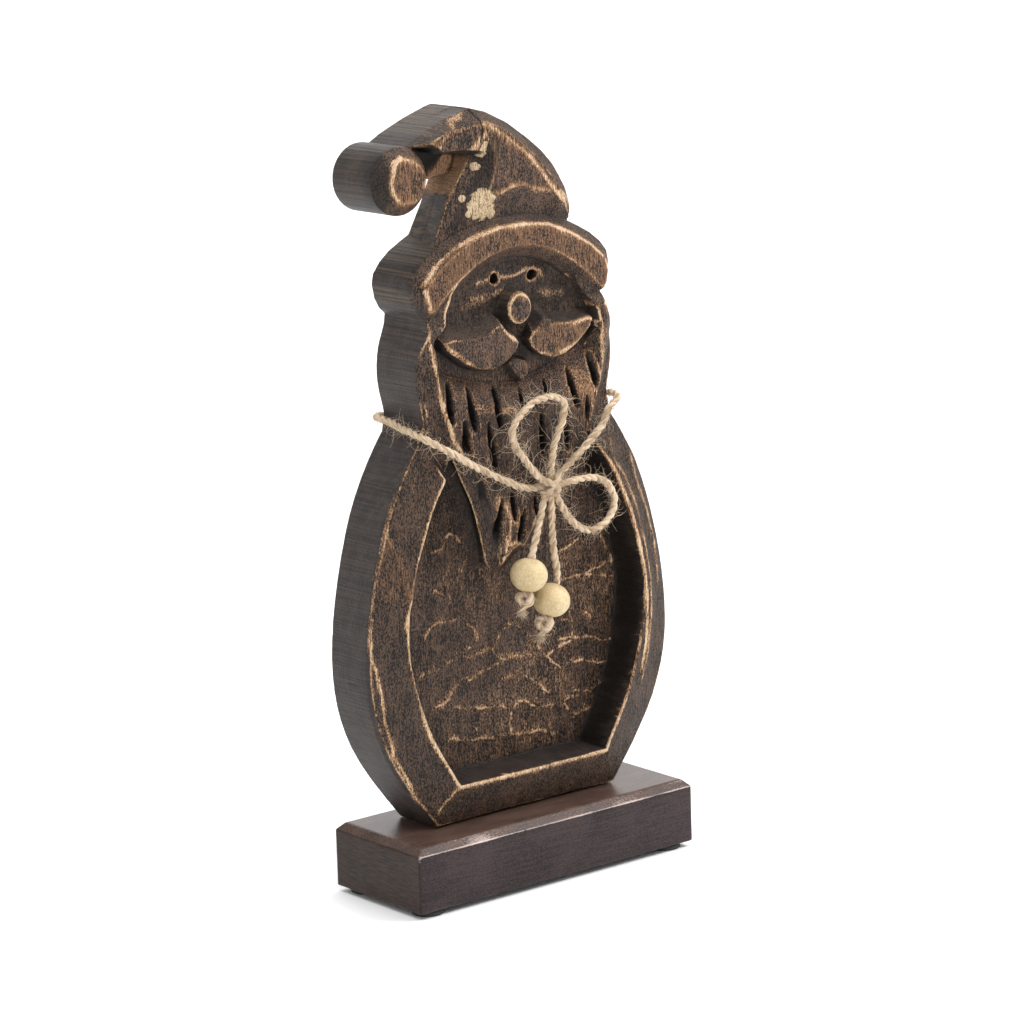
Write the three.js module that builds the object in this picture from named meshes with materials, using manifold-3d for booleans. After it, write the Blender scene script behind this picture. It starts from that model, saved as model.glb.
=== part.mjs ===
// A carved wooden Santa on a plinth, with a jute bow and two beads. Millimetres, +Z up, front towards -Y.
// The figure is one thick board sawn to its outline and carved on the front face only.
import * as THREE from 'three';
import { mergeVertices } from 'three/addons/utils/BufferGeometryUtils.js';
import Module from 'manifold-3d';

const wasm = await Module();
wasm.setup();

// Plinth and feet
const BASE_WIDTH = 150;
const BASE_DEPTH = 58.6;
const BASE_HEIGHT = 28;
const BASE_CHAMFER = 3.2;
const BASE_SHIFT = 1.5;
const FOOT_HEIGHT = 2.5;
const FOOT_RADIUS = 7;
const FOOT_ROUND = 0.7;
const FOOT_INSET = [9.6, 8];
const GAP = 0.3;

// The board
const BOARD = 31.8;
const BACK = BOARD / 2;
const FRONT = -BOARD / 2;
const FOOT_OF_FIGURE = FOOT_HEIGHT + BASE_HEIGHT + GAP;
const OUTER_EDGE = -10.2;
const HEAD_FRONT = -12.6;
const FACE_FLOOR = -8.2;
const PANEL_FLOOR = 2.5;

// Twine and beads
const TWINE = 3.2;
const TWINE_SIDES = 8;
const BEAD_WIDTH = 16.2;
const BEAD_HEIGHT = 14.6;
const BEAD_BORE = TWINE + 2 * GAP + 0.4;

// A solid from a closed geometry, its shared corners merged.
function solid(geometry) {
  const plain = geometry.clone();
  plain.deleteAttribute('normal');
  plain.deleteAttribute('uv');
  const merged = mergeVertices(plain, 1e-4);
  const mesh = new wasm.Mesh({
    numProp: 3,
    vertProperties: new Float32Array(merged.attributes.position.array),
    triVerts: new Uint32Array(merged.index.array),
  });
  return new wasm.Manifold(mesh);
}

function geometryOf(manifold) {
  const mesh = manifold.getMesh();
  const geometry = new THREE.BufferGeometry();
  geometry.setAttribute('position', new THREE.BufferAttribute(new Float32Array(mesh.vertProperties), 3));
  geometry.setIndex(new THREE.BufferAttribute(new Uint32Array(mesh.triVerts), 1));
  geometry.computeVertexNormals();
  return geometry;
}

// Points [x, z] of a closed outline, counter-clockwise seen from the front.
function smooth(points, perSpan = 3) {
  const corners = points.map(([x, z]) => new THREE.Vector3(x, z, 0));
  const curve = new THREE.CatmullRomCurve3(corners, true, 'centripetal');
  const count = points.length * perSpan;
  return Array.from({ length: count }, (_, i) => {
    const at = curve.getPoint(i / count);
    return [at.x, at.y];
  });
}

// A right-hand profile, from the bottom up, made into a closed outline by mirroring it.
function mirrored(profile) {
  return [...profile, ...[...profile].reverse().map(([x, z]) => [-x, z])];
}

// A solid through outlines of equal length, listed from the back to the front as [y, outline].
function loft(...levels) {
  const count = levels[0][1].length;
  const corners = levels.flatMap(([y, outline]) => outline.flatMap(([x, z]) => [x, y, z]));
  const faces = [];
  for (let level = 0; level + 1 < levels.length; level += 1) {
    for (let i = 0; i < count; i += 1) {
      const j = (i + 1) % count;
      const near = level * count;
      const far = near + count;
      faces.push(near + i, near + j, far + j, near + i, far + j, far + i);
    }
  }
  const cap = (level) => {
    const outline = levels[level][1].map(([x, z]) => new THREE.Vector2(x, z));
    return THREE.ShapeUtils.triangulateShape(outline, []);
  };
  cap(0).forEach(([a, b, c]) => faces.push(c, b, a));
  const last = (levels.length - 1) * count;
  cap(levels.length - 1).forEach(([a, b, c]) => faces.push(last + a, last + b, last + c));
  const geometry = new THREE.BufferGeometry();
  geometry.setAttribute('position', new THREE.Float32BufferAttribute(corners, 3));
  geometry.setIndex(faces);
  return solid(geometry);
}

// Each point of an outline moved towards the outline's middle by a distance.
function inset(outline, distance) {
  const count = outline.length;
  return outline.map(([x, z], i) => {
    const [ax, az] = outline[(i + count - 1) % count];
    const [bx, bz] = outline[(i + 1) % count];
    const along = new THREE.Vector2(bx - ax, bz - az).normalize();
    return [x - along.y * distance, z + along.x * distance];
  });
}

const union = (parts) => parts.reduce((whole, part) => whole.add(part));

// Body: an egg with a flat foot, its front a broad sloping rim round a deep panel.
const ARRIS_DEPTH = 2.4;
const ARRIS_SHARE = 0.06;
const PANEL_MOUTH_INSET = 0.6;
const PANEL_FLOOR_INSET = 1.3;
const SCOOP_FLOOR_Y = -2;
const CUT_CLEARANCE = 1;
const BODY_PROFILE = [
  [1, FOOT_OF_FIGURE], [48.8, FOOT_OF_FIGURE], [57.6, 42], [65.2, 52.4], [73, 65.5], [78.2, 79], [80.8, 92],
  [81.3, 105], [80, 121], [76.8, 138.5], [72, 157], [66, 173], [59, 186], [51.6, 197], [46, 204],
];
const RIM_PROFILE = [
  [1, 47.8], [40.2, 48.1], [45.4, 57], [50.5, 65.5], [55.8, 76.5], [60.2, 89], [63.2, 101],
  [64.7, 113], [63.8, 126], [60.4, 141], [55.6, 155], [50.4, 167], [44.6, 177], [39.6, 184], [36.2, 190],
];

function outlineOf(profile) {
  const [foot, corner, ...side] = profile;
  const curve = new THREE.CatmullRomCurve3([corner, ...side].map(([x, z]) => new THREE.Vector3(x, z, 0)));
  const steps = side.length * 2;
  const right = Array.from({ length: steps + 1 }, (_, i) => {
    const at = curve.getPoint(i / steps);
    return [at.x, at.y];
  });
  return mirrored([foot, ...right]);
}

// A scoop at the panel's upper left corner, where the shoulder runs down beside the beard.
const SCOOP_MOUTH = [
  [-43.6, 176], [-30, 172], [-33, 190], [-38, 200], [-45, 198], [-48.6, 190.4], [-42.4, 180],
];
const SCOOP_FLOOR = [[-41.6, 174], [-30, 172], [-31, 180], [-34, 186], [-38, 187], [-40, 184], [-40.6, 178]];

function body() {
  const outline = outlineOf(BODY_PROFILE);
  const rim = outlineOf(RIM_PROFILE);
  const arris = outline.map(([x, z], i) => [
    THREE.MathUtils.lerp(x, rim[i][0], ARRIS_SHARE),
    THREE.MathUtils.lerp(z, rim[i][1], ARRIS_SHARE),
  ]);
  const block = loft([BACK, outline], [OUTER_EDGE + ARRIS_DEPTH, outline], [OUTER_EDGE, arris], [FRONT, rim]);
  const panel = loft(
    [PANEL_FLOOR, inset(rim, PANEL_FLOOR_INSET)],
    [FRONT - GAP, inset(rim, PANEL_MOUTH_INSET)],
  );
  const scoop = loft([SCOOP_FLOOR_Y, SCOOP_FLOOR], [FRONT - CUT_CLEARANCE, SCOOP_MOUTH]);
  return block.subtract(panel).subtract(scoop);
}

// Head: a block the width of the neck, with the beard standing proud of it.
const HEAD_PROFILE = [
  [45, 188], [50.6, 199], [49.3, 203.5], [50, 209], [51.5, 215], [52.3, 222], [51.8, 230], [50.3, 236],
  [47.6, 243], [46.6, 250], [44, 262],
];
const BEARD_OUTLINE = [
  [-47.6, 243], [-47.4, 236], [-46, 228], [-43.2, 218.5], [-40.6, 208.5], [-36.6, 198], [-31.6, 189],
  [-27.2, 179], [-22.4, 168.6], [-19.4, 158], [-16.8, 147], [-14.6, 139.6], [-8.6, 144.6], [-1.4, 148.4],
  [6, 156], [14, 164], [22.4, 170], [29.5, 179], [34, 190], [38.2, 200], [42, 210], [44.6, 220],
  [46.4, 230], [46.6, 243],
];
const BEARD_SLOPE_TOP = 166;
const BEARD_SLOPE = THREE.MathUtils.degToRad(20);
const BEARD_SPREAD = 1.6;
const FLARE_INSET = 4.4;
const HEAD_CHAMFER = 1.4;
const CHEST_WIDTH = 80;
const CHEST_SPAN = [100, 200];

// Everything in front of the beard's lower slope, which falls back to the tip.
function inFrontOfSlope() {
  const [width, depth, height] = [120, 40, 80];
  const block = new THREE.BoxGeometry(width, depth, height);
  block.translate(0, -depth / 2, -height / 2);
  block.rotateX(BEARD_SLOPE);
  block.translate(0, FRONT, BEARD_SLOPE_TOP);
  return solid(block);
}

function head() {
  const side = smooth(mirrored(HEAD_PROFILE), 2);
  const chamfered = inset(side, HEAD_CHAMFER);
  const block = loft([BACK, side], [HEAD_FRONT + HEAD_CHAMFER, side], [HEAD_FRONT, chamfered]);
  const front = smooth(BEARD_OUTLINE, 2);
  const behind = inset(front, -BEARD_SPREAD);
  const flared = inset(front, -FLARE_INSET);
  const beard = loft([PANEL_FLOOR + CUT_CLEARANCE, behind], [HEAD_FRONT, inset(front, -1)], [FRONT, front]);
  const flare = loft([HEAD_FRONT + CUT_CLEARANCE, flared], [HEAD_FRONT, flared], [FRONT, front]);
  const outline = loft([BACK, side], [FRONT - CUT_CLEARANCE, side]);
  const [chestFoot, chestTop] = CHEST_SPAN;
  const chest = new THREE.BoxGeometry(CHEST_WIDTH, BOARD + 2 * CUT_CLEARANCE, chestTop - chestFoot);
  chest.translate(0, 0, (chestFoot + chestTop) / 2);
  const within = outline.add(solid(chest));
  return block.add(flare.add(beard.subtract(inFrontOfSlope())).intersect(within));
}

// Beard: rows of tapered gouge cuts that draw in towards the tip.
const GOUGE_DEPTH = 4.5;
const GOUGE_WIDTH = 2.5;
const GOUGE_WIDEST = 0.62;
const GOUGE_FLOOR = [0.22, 0.6];
const GOUGE_SWAY = 1.6;
const GOUGE_ROWS = [
  { top: 218, length: 19, lean: 4.2, at: [-39.4, -29.6, -15.6, -1.8, 11.6, 24.6, 36.2] },
  { top: 203, length: 19, lean: 2.6, at: [-31.4, -18.9, -5, 10, 23, 34.4] },
  { top: 179, length: 15, lean: 1.4, at: [-23.9, -7.6, 5.2, 18] },
  { top: 163, length: 12, lean: -3, at: [-13, -1] },
];

function gouge(x, top, length, lean) {
  const half = GOUGE_WIDTH / 2;
  const [wideX, wideZ] = [x + lean * GOUGE_WIDEST, top - length * GOUGE_WIDEST];
  const mouth = [[x, top], [wideX - half, wideZ], [x + lean, top - length], [wideX + half, wideZ]];
  const floor = mouth.map(([px, pz]) => [
    THREE.MathUtils.lerp(wideX, px, GOUGE_FLOOR[0]),
    THREE.MathUtils.lerp(wideZ, pz, GOUGE_FLOOR[1]),
  ]);
  return loft([FRONT + GOUGE_DEPTH, floor], [FRONT - CUT_CLEARANCE, mouth]);
}

function gouges() {
  return union(GOUGE_ROWS.flatMap(({ top, length, lean, at }) => at.map((x, i) => {
    const sway = Math.sin(i * 2.4 + top) * GOUGE_SWAY;
    return gouge(x, top + sway, length + sway, lean);
  })));
}

// Face: a recess under the brim, with the nose, moustache and lip left standing in it.
const FACE_RECESS = [
  [28, 272], [-29, 272], [-32, 260], [-34, 253], [-39, 244], [-45.8, 237.2], [-44.6, 230.4], [-41, 225.6],
  [-35, 221.4], [-20.4, 216.8], [-9.8, 215.2], [2, 213.8], [14.6, 217.2], [28.3, 220.6], [39, 225],
  [43.6, 232.6], [42.8, 240], [39.8, 245.4], [35, 252], [30.5, 260],
];
const LOBE = [
  [-0.8, 232.6], [-3, 235], [-6.2, 236.4], [-9.8, 241], [-13, 240], [-17, 237.6], [-24.5, 236.8],
  [-35, 237.6], [-41.2, 237], [-38.6, 234], [-34, 230.4], [-29, 226.8], [-22.5, 223.8], [-14.6, 222.8],
  [-8, 224.9], [-2.4, 229],
];
const LOBE_SLOPE = 5;
const RIGHT_LOBE = { root: 3.7, size: 0.9, raise: 0.4 };
const LIP = [[-1.2, 219], [3, 215.2], [6.2, 218], [7, 223.2], [-1, 225.4], [-4.6, 224]];
const NOSE_CENTRE = [0, 246.9];
const NOSE_HALF = [6.3, 7];
const EYES = [[-7.6, 259.4], [12.6, 258.6]];
const EYE_RADIUS = 2.3;
const EYE_DEPTH = 4;
const NOSE_STEP = 0.6;
const NOSE_BEVEL = 1.6;

function oval([cx, cz], [halfX, halfZ], sides) {
  return Array.from({ length: sides }, (_, i) => {
    const turn = (i / sides) * Math.PI * 2;
    return [cx + halfX * Math.cos(turn), cz + halfZ * Math.sin(turn)];
  });
}

function lobe(place) {
  const front = smooth(LOBE.map(place), 1);
  const middle = LOBE.reduce((sum, point) => sum + place(point)[1], 0) / LOBE.length;
  const foot = inset(front, -1).map(([x, z]) => [x, z > middle + 2 ? z + LOBE_SLOPE : z]);
  const ordered = THREE.ShapeUtils.isClockWise(front.map(([x, z]) => new THREE.Vector2(x, z)));
  const levels = [[FACE_FLOOR + 1.5, foot], [FRONT, front]];
  return loft(...levels.map(([y, outline]) => [y, ordered ? [...outline].reverse() : outline]));
}

function face(block) {
  const recess = smooth(FACE_RECESS, 1);
  const cut = loft([FACE_FLOOR, inset(recess, NOSE_STEP)], [FRONT - CUT_CLEARANCE, recess]);
  const left = lobe(([x, z]) => [x, z]);
  const right = lobe(([x, z]) => [RIGHT_LOBE.root - x * RIGHT_LOBE.size, z + RIGHT_LOBE.raise]);
  const ring = (grow) => oval(NOSE_CENTRE, NOSE_HALF.map((half) => half + grow), 20);
  const nose = loft(
    [FACE_FLOOR + NOSE_STEP, ring(NOSE_STEP)],
    [FRONT + NOSE_STEP, ring(0)],
    [FRONT - NOSE_STEP, ring(-NOSE_BEVEL)],
  );
  const lip = loft([FACE_FLOOR + NOSE_STEP, inset(LIP, -NOSE_STEP)], [HEAD_FRONT, LIP]);
  const eyes = EYES.map((at) => {
    const hole = oval(at, [EYE_RADIUS, EYE_RADIUS], 12);
    return loft([FACE_FLOOR + EYE_DEPTH, hole], [FRONT - CUT_CLEARANCE, hole]);
  });
  return union([block.subtract(cut), left, right, nose, lip]).subtract(union(eyes));
}

// Brim: a crescent that overhangs the head, bevelled above and below its front band.
const BRIM_ARC = 12;

function arc([fromX, fromZ], [toX, toZ], rise, count) {
  return Array.from({ length: count + 1 }, (_, i) => {
    const t = i / count;
    const lift = 1 - (2 * t - 1) ** 2;
    return [THREE.MathUtils.lerp(fromX, toX, t), THREE.MathUtils.lerp(fromZ, toZ, t) + rise * lift];
  });
}

function brim() {
  const under = arc([-42.6, 245.4], [42.6, 245.4], 22.6, BRIM_ARC);
  const outerTop = [
    [46.6, 247], [49.6, 249.6], [52, 254], [53, 260], [52.2, 264.4], [48.6, 269], [43.5, 273], [37, 276.6],
    [29, 280.6], [19, 284], [8, 285.9],
  ];
  const bandTop = [
    [46.2, 249.6], [47.6, 252], [48.2, 256.5], [47.6, 260.6], [46, 263], [42.4, 266.2], [37.8, 269.6],
    [32, 273.2], [24.6, 277], [16, 280], [6.6, 281.6],
  ];
  const bandUnder = arc([-44.4, 250.6], [44.4, 250.6], 22.4, BRIM_ARC);
  const outline = [...under, ...mirrored(outerTop)];
  const band = [...bandUnder, ...mirrored(bandTop)];
  return loft([BACK, outline], [OUTER_EDGE, outline], [FRONT, band]);
}

// Crown: leans over to the left; a flat facet on its front, chamfered to the outline.
const CROWN_SIDE = [
  [33.6, 280], [33.4, 286], [31.6, 293], [29, 298.4], [25.4, 304], [20, 309.8], [12, 316.2], [2, 323.2],
  [-9.6, 329], [-19, 331.6],
];
const CROWN_FOOT = [[-22, 276], [-8, 276], [6, 276], [20, 276]];
const CROWN_BACK = [
  [-34.4, 276], ...CROWN_FOOT, ...CROWN_SIDE, [-24, 330.4], [-16, 316], [-20.4, 303], [-26, 291],
];
const CROWN_EDGE = [
  [-39, 276], ...CROWN_FOOT, ...CROWN_SIDE, [-24, 329], [-16.6, 313.4], [-21, 308.4], [-31, 294.6],
];
const CROWN_FACET = [
  [-13.6, 293.6], [-7, 294.2], [-0.6, 297], [6, 298.2], [15, 295.6],
  [27, 289.2], [26, 291], [23.6, 295], [20.6, 299.4], [17, 303.6], [12, 309], [4.6, 315], [-3, 320.4],
  [-10, 324], [-16, 326], [-19, 325.6], [-10.6, 315], [-9.2, 307], [-11, 299],
];

const CROWN_FRONT = FRONT + 1.8;
const CROWN_EDGE_Y = OUTER_EDGE + 1.4;

function crown() {
  return loft([BACK, CROWN_BACK], [CROWN_EDGE_Y, CROWN_EDGE], [CROWN_FRONT, CROWN_FACET]);
}

// Curled tip: the arm from the crown to the pom, thin over the notch, with a web behind it.
const ARM_BACK = [
  [-14, 306], [-12, 316], [-14, 329.4], [-20, 331.2], [-26, 329.6], [-33, 327.2], [-40, 324.4], [-46, 321.8],
  [-53, 318], [-52, 308], [-43, 303.6], [-33, 302.6], [-24, 304],
];
const ARM_EDGE = [
  [-13, 311], [-12, 318], [-14, 329.2], [-20, 330.8], [-26, 329.4], [-33, 327.2], [-40, 324.4], [-46, 321.8],
  [-52.5, 318.4], [-47, 317.8], [-40.2, 317.2], [-37.6, 314.4], [-27, 313.4],
];
const ARM_FACET = [
  [-15, 313.6], [-13, 318.6], [-15, 323.6], [-20, 324.6], [-26, 324.4], [-31, 323.8], [-36, 322.6],
  [-40, 321], [-42.8, 319.6], [-41.4, 318.6], [-39.6, 317.4], [-37.4, 315.2], [-27, 315.2],
];
const ARM_FRONT = FRONT + 0.8;
const ARM_EDGE_Y = OUTER_EDGE + 1.2;
const WEB_FRONT = 1;
const WEB_LAP = 1;
const POM_CENTRE = [-56.7, 305.3];
const POM_RADIUS = 14.15;
const POM_SIDES = 36;
const POM_BEVEL = 4.6;

function tip() {
  const web = loft([BACK, ARM_BACK], [WEB_FRONT, ARM_BACK]);
  const arm = loft([WEB_FRONT + WEB_LAP, ARM_EDGE], [ARM_EDGE_Y, ARM_EDGE], [ARM_FRONT, ARM_FACET]);
  const disc = oval(POM_CENTRE, [POM_RADIUS, POM_RADIUS], POM_SIDES);
  const pom = loft([BACK, disc], [OUTER_EDGE, disc], [FRONT, inset(disc, POM_BEVEL)]);
  return union([web, arm, pom]);
}

function carvedFigure() {
  const carvedHead = face(head()).subtract(gouges());
  return union([body(), carvedHead, brim(), crown(), tip()]);
}

// Plinth: a plain block, its upper edges chamfered.
function plinth() {
  const x = BASE_WIDTH / 2 - BASE_CHAMFER;
  const y = BASE_DEPTH / 2 - BASE_CHAMFER;
  const corners = [[-x, -y], [x, -y], [x, y], [-x, y]].map((corner) => new THREE.Vector2(...corner));
  const geometry = new THREE.ExtrudeGeometry(new THREE.Shape(corners), {
    depth: BASE_HEIGHT, bevelSize: BASE_CHAMFER, bevelThickness: BASE_CHAMFER, bevelSegments: 1,
  });
  geometry.translate(BASE_SHIFT, 0, FOOT_HEIGHT - BASE_CHAMFER);
  const cut = new THREE.BoxGeometry(BASE_WIDTH * 2, BASE_DEPTH * 2, BASE_HEIGHT);
  cut.translate(0, 0, FOOT_HEIGHT - BASE_HEIGHT / 2);
  return solid(geometry).subtract(solid(cut));
}

function foot() {
  const face = FOOT_RADIUS - FOOT_ROUND;
  const profile = [[0, 0], [face, 0], [FOOT_RADIUS, FOOT_ROUND], [FOOT_RADIUS, FOOT_HEIGHT - GAP]];
  const points = [...profile, [0, FOOT_HEIGHT - GAP]].map(([r, z]) => new THREE.Vector2(r, z));
  const geometry = new THREE.LatheGeometry(points, 24);
  geometry.rotateX(Math.PI / 2);
  return solid(geometry);
}

// Twine: routes as [x, y, z], the neck loop first, then the bow and the two tails.
const KNOT = [9.4, -19.8, 171];
const NECK_ROUTE = [
  [7, -19.4, 170.8], [0.2, -18.6, 170.6], [-10.4, -18.4, 174.6], [-20.9, -18.4, 180], [-31.2, -18.4, 185.8],
  [-41.4, -18.4, 192.2], [-48, -18.2, 196], [-52.2, -15.6, 198.8], [-52.8, -8, 200.6], [-52.6, 0, 201.6],
  [-52.2, 8, 203], [-52.2, 13.6, 203.6], [-52, 17, 204], [-50.2, 18.2, 204], [-45, 18, 203.6],
  [-20, 18, 203], [10, 18, 202.6], [45, 18, 202.8], [50.4, 18.2, 202.8], [52.2, 17, 202.8],
  [52.4, 13.4, 202.8], [52.4, 6, 203], [52.4, -6, 203], [52.2, -14, 202.8],
  [49.4, -17.8, 201.6], [44.3, -18.6, 198.4], [41, -18.4, 192.6], [33.6, -18.4, 186], [24, -18.6, 179.4],
  [12, -19.6, 172],
];
const UPPER_LOOP = [
  [8, -20.4, 172], [2.8, -21.4, 175.4], [-5, -22, 184], [-10.6, -22.2, 191.6], [-11.4, -22.2, 197.4],
  [-6.9, -22.2, 203.2], [1.4, -22, 207.8], [11, -21.8, 208.6], [17, -21.8, 205], [16, -21.8, 198],
  [11.6, -21.8, 189], [9.6, -21.4, 180], [9.6, -20.6, 173],
];
const RIGHT_LOOP = [
  [11, -20.4, 171], [18, -22, 171], [27.2, -22.4, 171.4], [35.5, -22.2, 169.6], [41.8, -22, 164],
  [42.8, -22, 157], [37.5, -22, 150.4], [29, -22, 148.4], [21, -22, 152.4], [14.9, -21.8, 160],
  [11.4, -20.8, 168.6],
];
const TAILS = {
  left: {
    route: [[8.2, -20.6, 170], [4.4, -21.4, 163], [1.7, -21.6, 154.9]],
    middle: [-4, -21, 134.4],
    lean: [0.24, 0, 1],
  },
  right: {
    route: [[9.6, -20.6, 169], [9.5, -20.8, 160], [9.8, -20.6, 146]],
    middle: [9, -19.4, 121],
    lean: [0.5, 0.06, 1],
  },
};
const END_KNOT_RADIUS = 2.9;
const END_KNOT_DROP = 11.2;
const BOW_KNOT_RADIUS = 4.4;
const BOW_KNOT_FLATNESS = 0.7;
const TAIL_ENTRY = BEAD_HEIGHT / 2 + 1;
const NECK_SPACING = 4;
const LOOP_SPACING = 6;
const TAIL_SPACING = 5;

function tube(points, spacing) {
  const route = points.map((point) => new THREE.Vector3(...point));
  const curve = new THREE.CatmullRomCurve3(route, false, 'centripetal');
  const ring = oval([0, 0], [TWINE / 2, TWINE / 2], TWINE_SIDES);
  const section = new THREE.Shape(ring.map(([x, y]) => new THREE.Vector2(x, y)));
  const steps = Math.max(4, Math.round(curve.getLength() / spacing));
  return solid(new THREE.ExtrudeGeometry(section, { steps, extrudePath: curve, bevelEnabled: false }));
}

function ball(radius, at, flat = 1) {
  const geometry = new THREE.SphereGeometry(radius, 12, 8);
  geometry.scale(1, flat, 1);
  geometry.translate(...at);
  return solid(geometry);
}

// A point on a tail's straight stretch through its bead, a distance above the bead's middle.
function alongTail({ middle, lean }, distance) {
  const offset = new THREE.Vector3(...lean).normalize().multiplyScalar(distance);
  return offset.add(new THREE.Vector3(...middle)).toArray();
}

function twine() {
  const tails = Object.values(TAILS).flatMap((tail) => [
    tube([...tail.route, alongTail(tail, TAIL_ENTRY)], TAIL_SPACING),
    tube([alongTail(tail, TAIL_ENTRY + GAP), alongTail(tail, -END_KNOT_DROP)], TAIL_SPACING),
    ball(END_KNOT_RADIUS, alongTail(tail, -END_KNOT_DROP)),
  ]);
  return union([
    tube(NECK_ROUTE, NECK_SPACING),
    tube(UPPER_LOOP, LOOP_SPACING),
    tube(RIGHT_LOOP, LOOP_SPACING),
    ball(BOW_KNOT_RADIUS, KNOT, BOW_KNOT_FLATNESS),
    ...tails,
  ]);
}

// Bead: a flattened ball bored along its own axis, which follows the tail.
function bead({ middle, lean }) {
  const bore = BEAD_BORE / 2;
  const outer = BEAD_WIDTH / 2;
  const tall = BEAD_HEIGHT / 2;
  const limit = Math.acos(bore / outer);
  const steps = 10;
  const points = Array.from({ length: steps + 1 }, (_, i) => {
    const angle = -limit + (2 * limit * i) / steps;
    return new THREE.Vector2(outer * Math.cos(angle), tall * Math.sin(angle));
  });
  points.push(points[0].clone());
  const geometry = new THREE.LatheGeometry(points, 20);
  const axis = new THREE.Vector3(...lean).normalize();
  geometry.applyQuaternion(new THREE.Quaternion().setFromUnitVectors(new THREE.Vector3(0, 1, 0), axis));
  geometry.translate(...middle);
  return solid(geometry);
}

const FINISH = {
  stain: { color: 0x3a2a1f, roughness: 0.75, metalness: 0 },
  plinth: { color: 0x4a3834, roughness: 0.45, metalness: 0 },
  rubber: { color: 0x161514, roughness: 0.8, metalness: 0 },
  jute: { color: 0xc9b08a, roughness: 0.95, metalness: 0 },
  bead: { color: 0xdcc9a0, roughness: 0.55, metalness: 0 },
};

function named(name, manifold, finish) {
  const mesh = new THREE.Mesh(geometryOf(manifold), new THREE.MeshStandardMaterial(FINISH[finish]));
  mesh.name = name;
  return mesh;
}

const santa = new THREE.Group();
santa.add(named('carved_figure', carvedFigure(), 'stain'));
santa.add(named('base_block', plinth(), 'plinth'));
for (const [end, side] of [['front', -1], ['back', 1]]) {
  for (const [hand, across] of [['left', -1], ['right', 1]]) {
    const mesh = named(`foot_${end}_${hand}`, foot(), 'rubber');
    mesh.position.set(
      BASE_SHIFT + across * (BASE_WIDTH / 2 - FOOT_INSET[0]),
      side * (BASE_DEPTH / 2 - FOOT_INSET[1]),
      0,
    );
    santa.add(mesh);
  }
}
santa.add(named('jute_twine', twine(), 'jute'));
for (const [hand, tail] of Object.entries(TAILS)) {
  santa.add(named(`bead_${hand}`, bead(tail), 'bead'));
}

export default santa;
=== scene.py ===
"""The looks of a carved wooden Santa on a plinth, with a jute bow and two beads.

Lengths are in millimetres, in the frame's own axes: +Z up, the carved face towards -Y.
They become metres only where a mesh or the camera is made.
"""
import math

import bpy
import numpy as np
from mathutils import Matrix, Vector
from mathutils.bvhtree import BVHTree


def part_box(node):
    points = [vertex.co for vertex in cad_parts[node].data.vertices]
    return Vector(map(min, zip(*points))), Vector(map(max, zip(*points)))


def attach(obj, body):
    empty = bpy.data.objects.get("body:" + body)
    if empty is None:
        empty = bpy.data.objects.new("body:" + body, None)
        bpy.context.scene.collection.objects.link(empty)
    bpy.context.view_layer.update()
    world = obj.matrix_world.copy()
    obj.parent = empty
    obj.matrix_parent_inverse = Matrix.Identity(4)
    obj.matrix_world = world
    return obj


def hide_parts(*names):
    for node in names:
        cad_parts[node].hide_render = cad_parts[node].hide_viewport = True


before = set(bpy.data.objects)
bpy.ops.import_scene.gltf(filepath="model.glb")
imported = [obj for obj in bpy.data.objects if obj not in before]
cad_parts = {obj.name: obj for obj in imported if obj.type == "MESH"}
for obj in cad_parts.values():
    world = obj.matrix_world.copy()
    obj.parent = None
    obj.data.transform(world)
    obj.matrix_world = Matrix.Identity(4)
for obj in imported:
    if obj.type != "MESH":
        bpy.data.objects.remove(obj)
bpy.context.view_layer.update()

MM = 0.001

# Camera, as the photograph was taken
CAMERA_TARGET = (4.78, 0.0, 156.64)
CAMERA_DISTANCE = 1693.77
CAMERA_YAW = -38.6
CAMERA_PITCH = 12.36
CAMERA_ROLL = -1.86
CAMERA_LENS = 140.38

# The board
FRONT = -15.9
AHEAD = -17
FACE_FLOOR = -8.2
PANEL_FLOOR = 2.5

# Twine, repeated from the CAD route
TWINE = 3.2
PLIES = 2
PLY_PITCH = 7.4
NECK_ROUTE = [
    (7, -19.4, 170.8), (0.2, -18.6, 170.6), (-10.4, -18.4, 174.6), (-20.9, -18.4, 180),
    (-31.2, -18.4, 185.8), (-41.4, -18.4, 192.2), (-48, -18.2, 196), (-52.2, -15.6, 198.8),
    (-52.8, -8, 200.6), (-52.6, 0, 201.6), (-52.2, 8, 203), (-52.2, 13.6, 203.6), (-52, 17, 204),
    (-50.2, 18.2, 204), (-45, 18, 203.6), (-20, 18, 203), (10, 18, 202.6), (45, 18, 202.8),
    (50.4, 18.2, 202.8), (52.2, 17, 202.8), (52.4, 13.4, 202.8), (52.4, 6, 203), (52.4, -6, 203),
    (52.2, -14, 202.8), (49.4, -17.8, 201.6), (44.3, -18.6, 198.4), (41, -18.4, 192.6),
    (33.6, -18.4, 186), (24, -18.6, 179.4), (12, -19.6, 172),
]
UPPER_LOOP = [
    (8, -20.4, 172), (2.8, -21.4, 175.4), (-5, -22, 184), (-10.6, -22.2, 191.6),
    (-11.4, -22.2, 197.4), (-6.9, -22.2, 203.2), (1.4, -22, 207.8), (11, -21.8, 208.6),
    (17, -21.8, 205), (16, -21.8, 198), (11.6, -21.8, 189), (9.6, -21.4, 180), (9.6, -20.6, 173),
]
RIGHT_LOOP = [
    (11, -20.4, 171), (18, -22, 171), (27.2, -22.4, 171.4), (35.5, -22.2, 169.6),
    (41.8, -22, 164), (42.8, -22, 157), (37.5, -22, 150.4), (29, -22, 148.4),
    (21, -22, 152.4), (14.9, -21.8, 160), (11.4, -20.8, 168.6),
]
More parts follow.
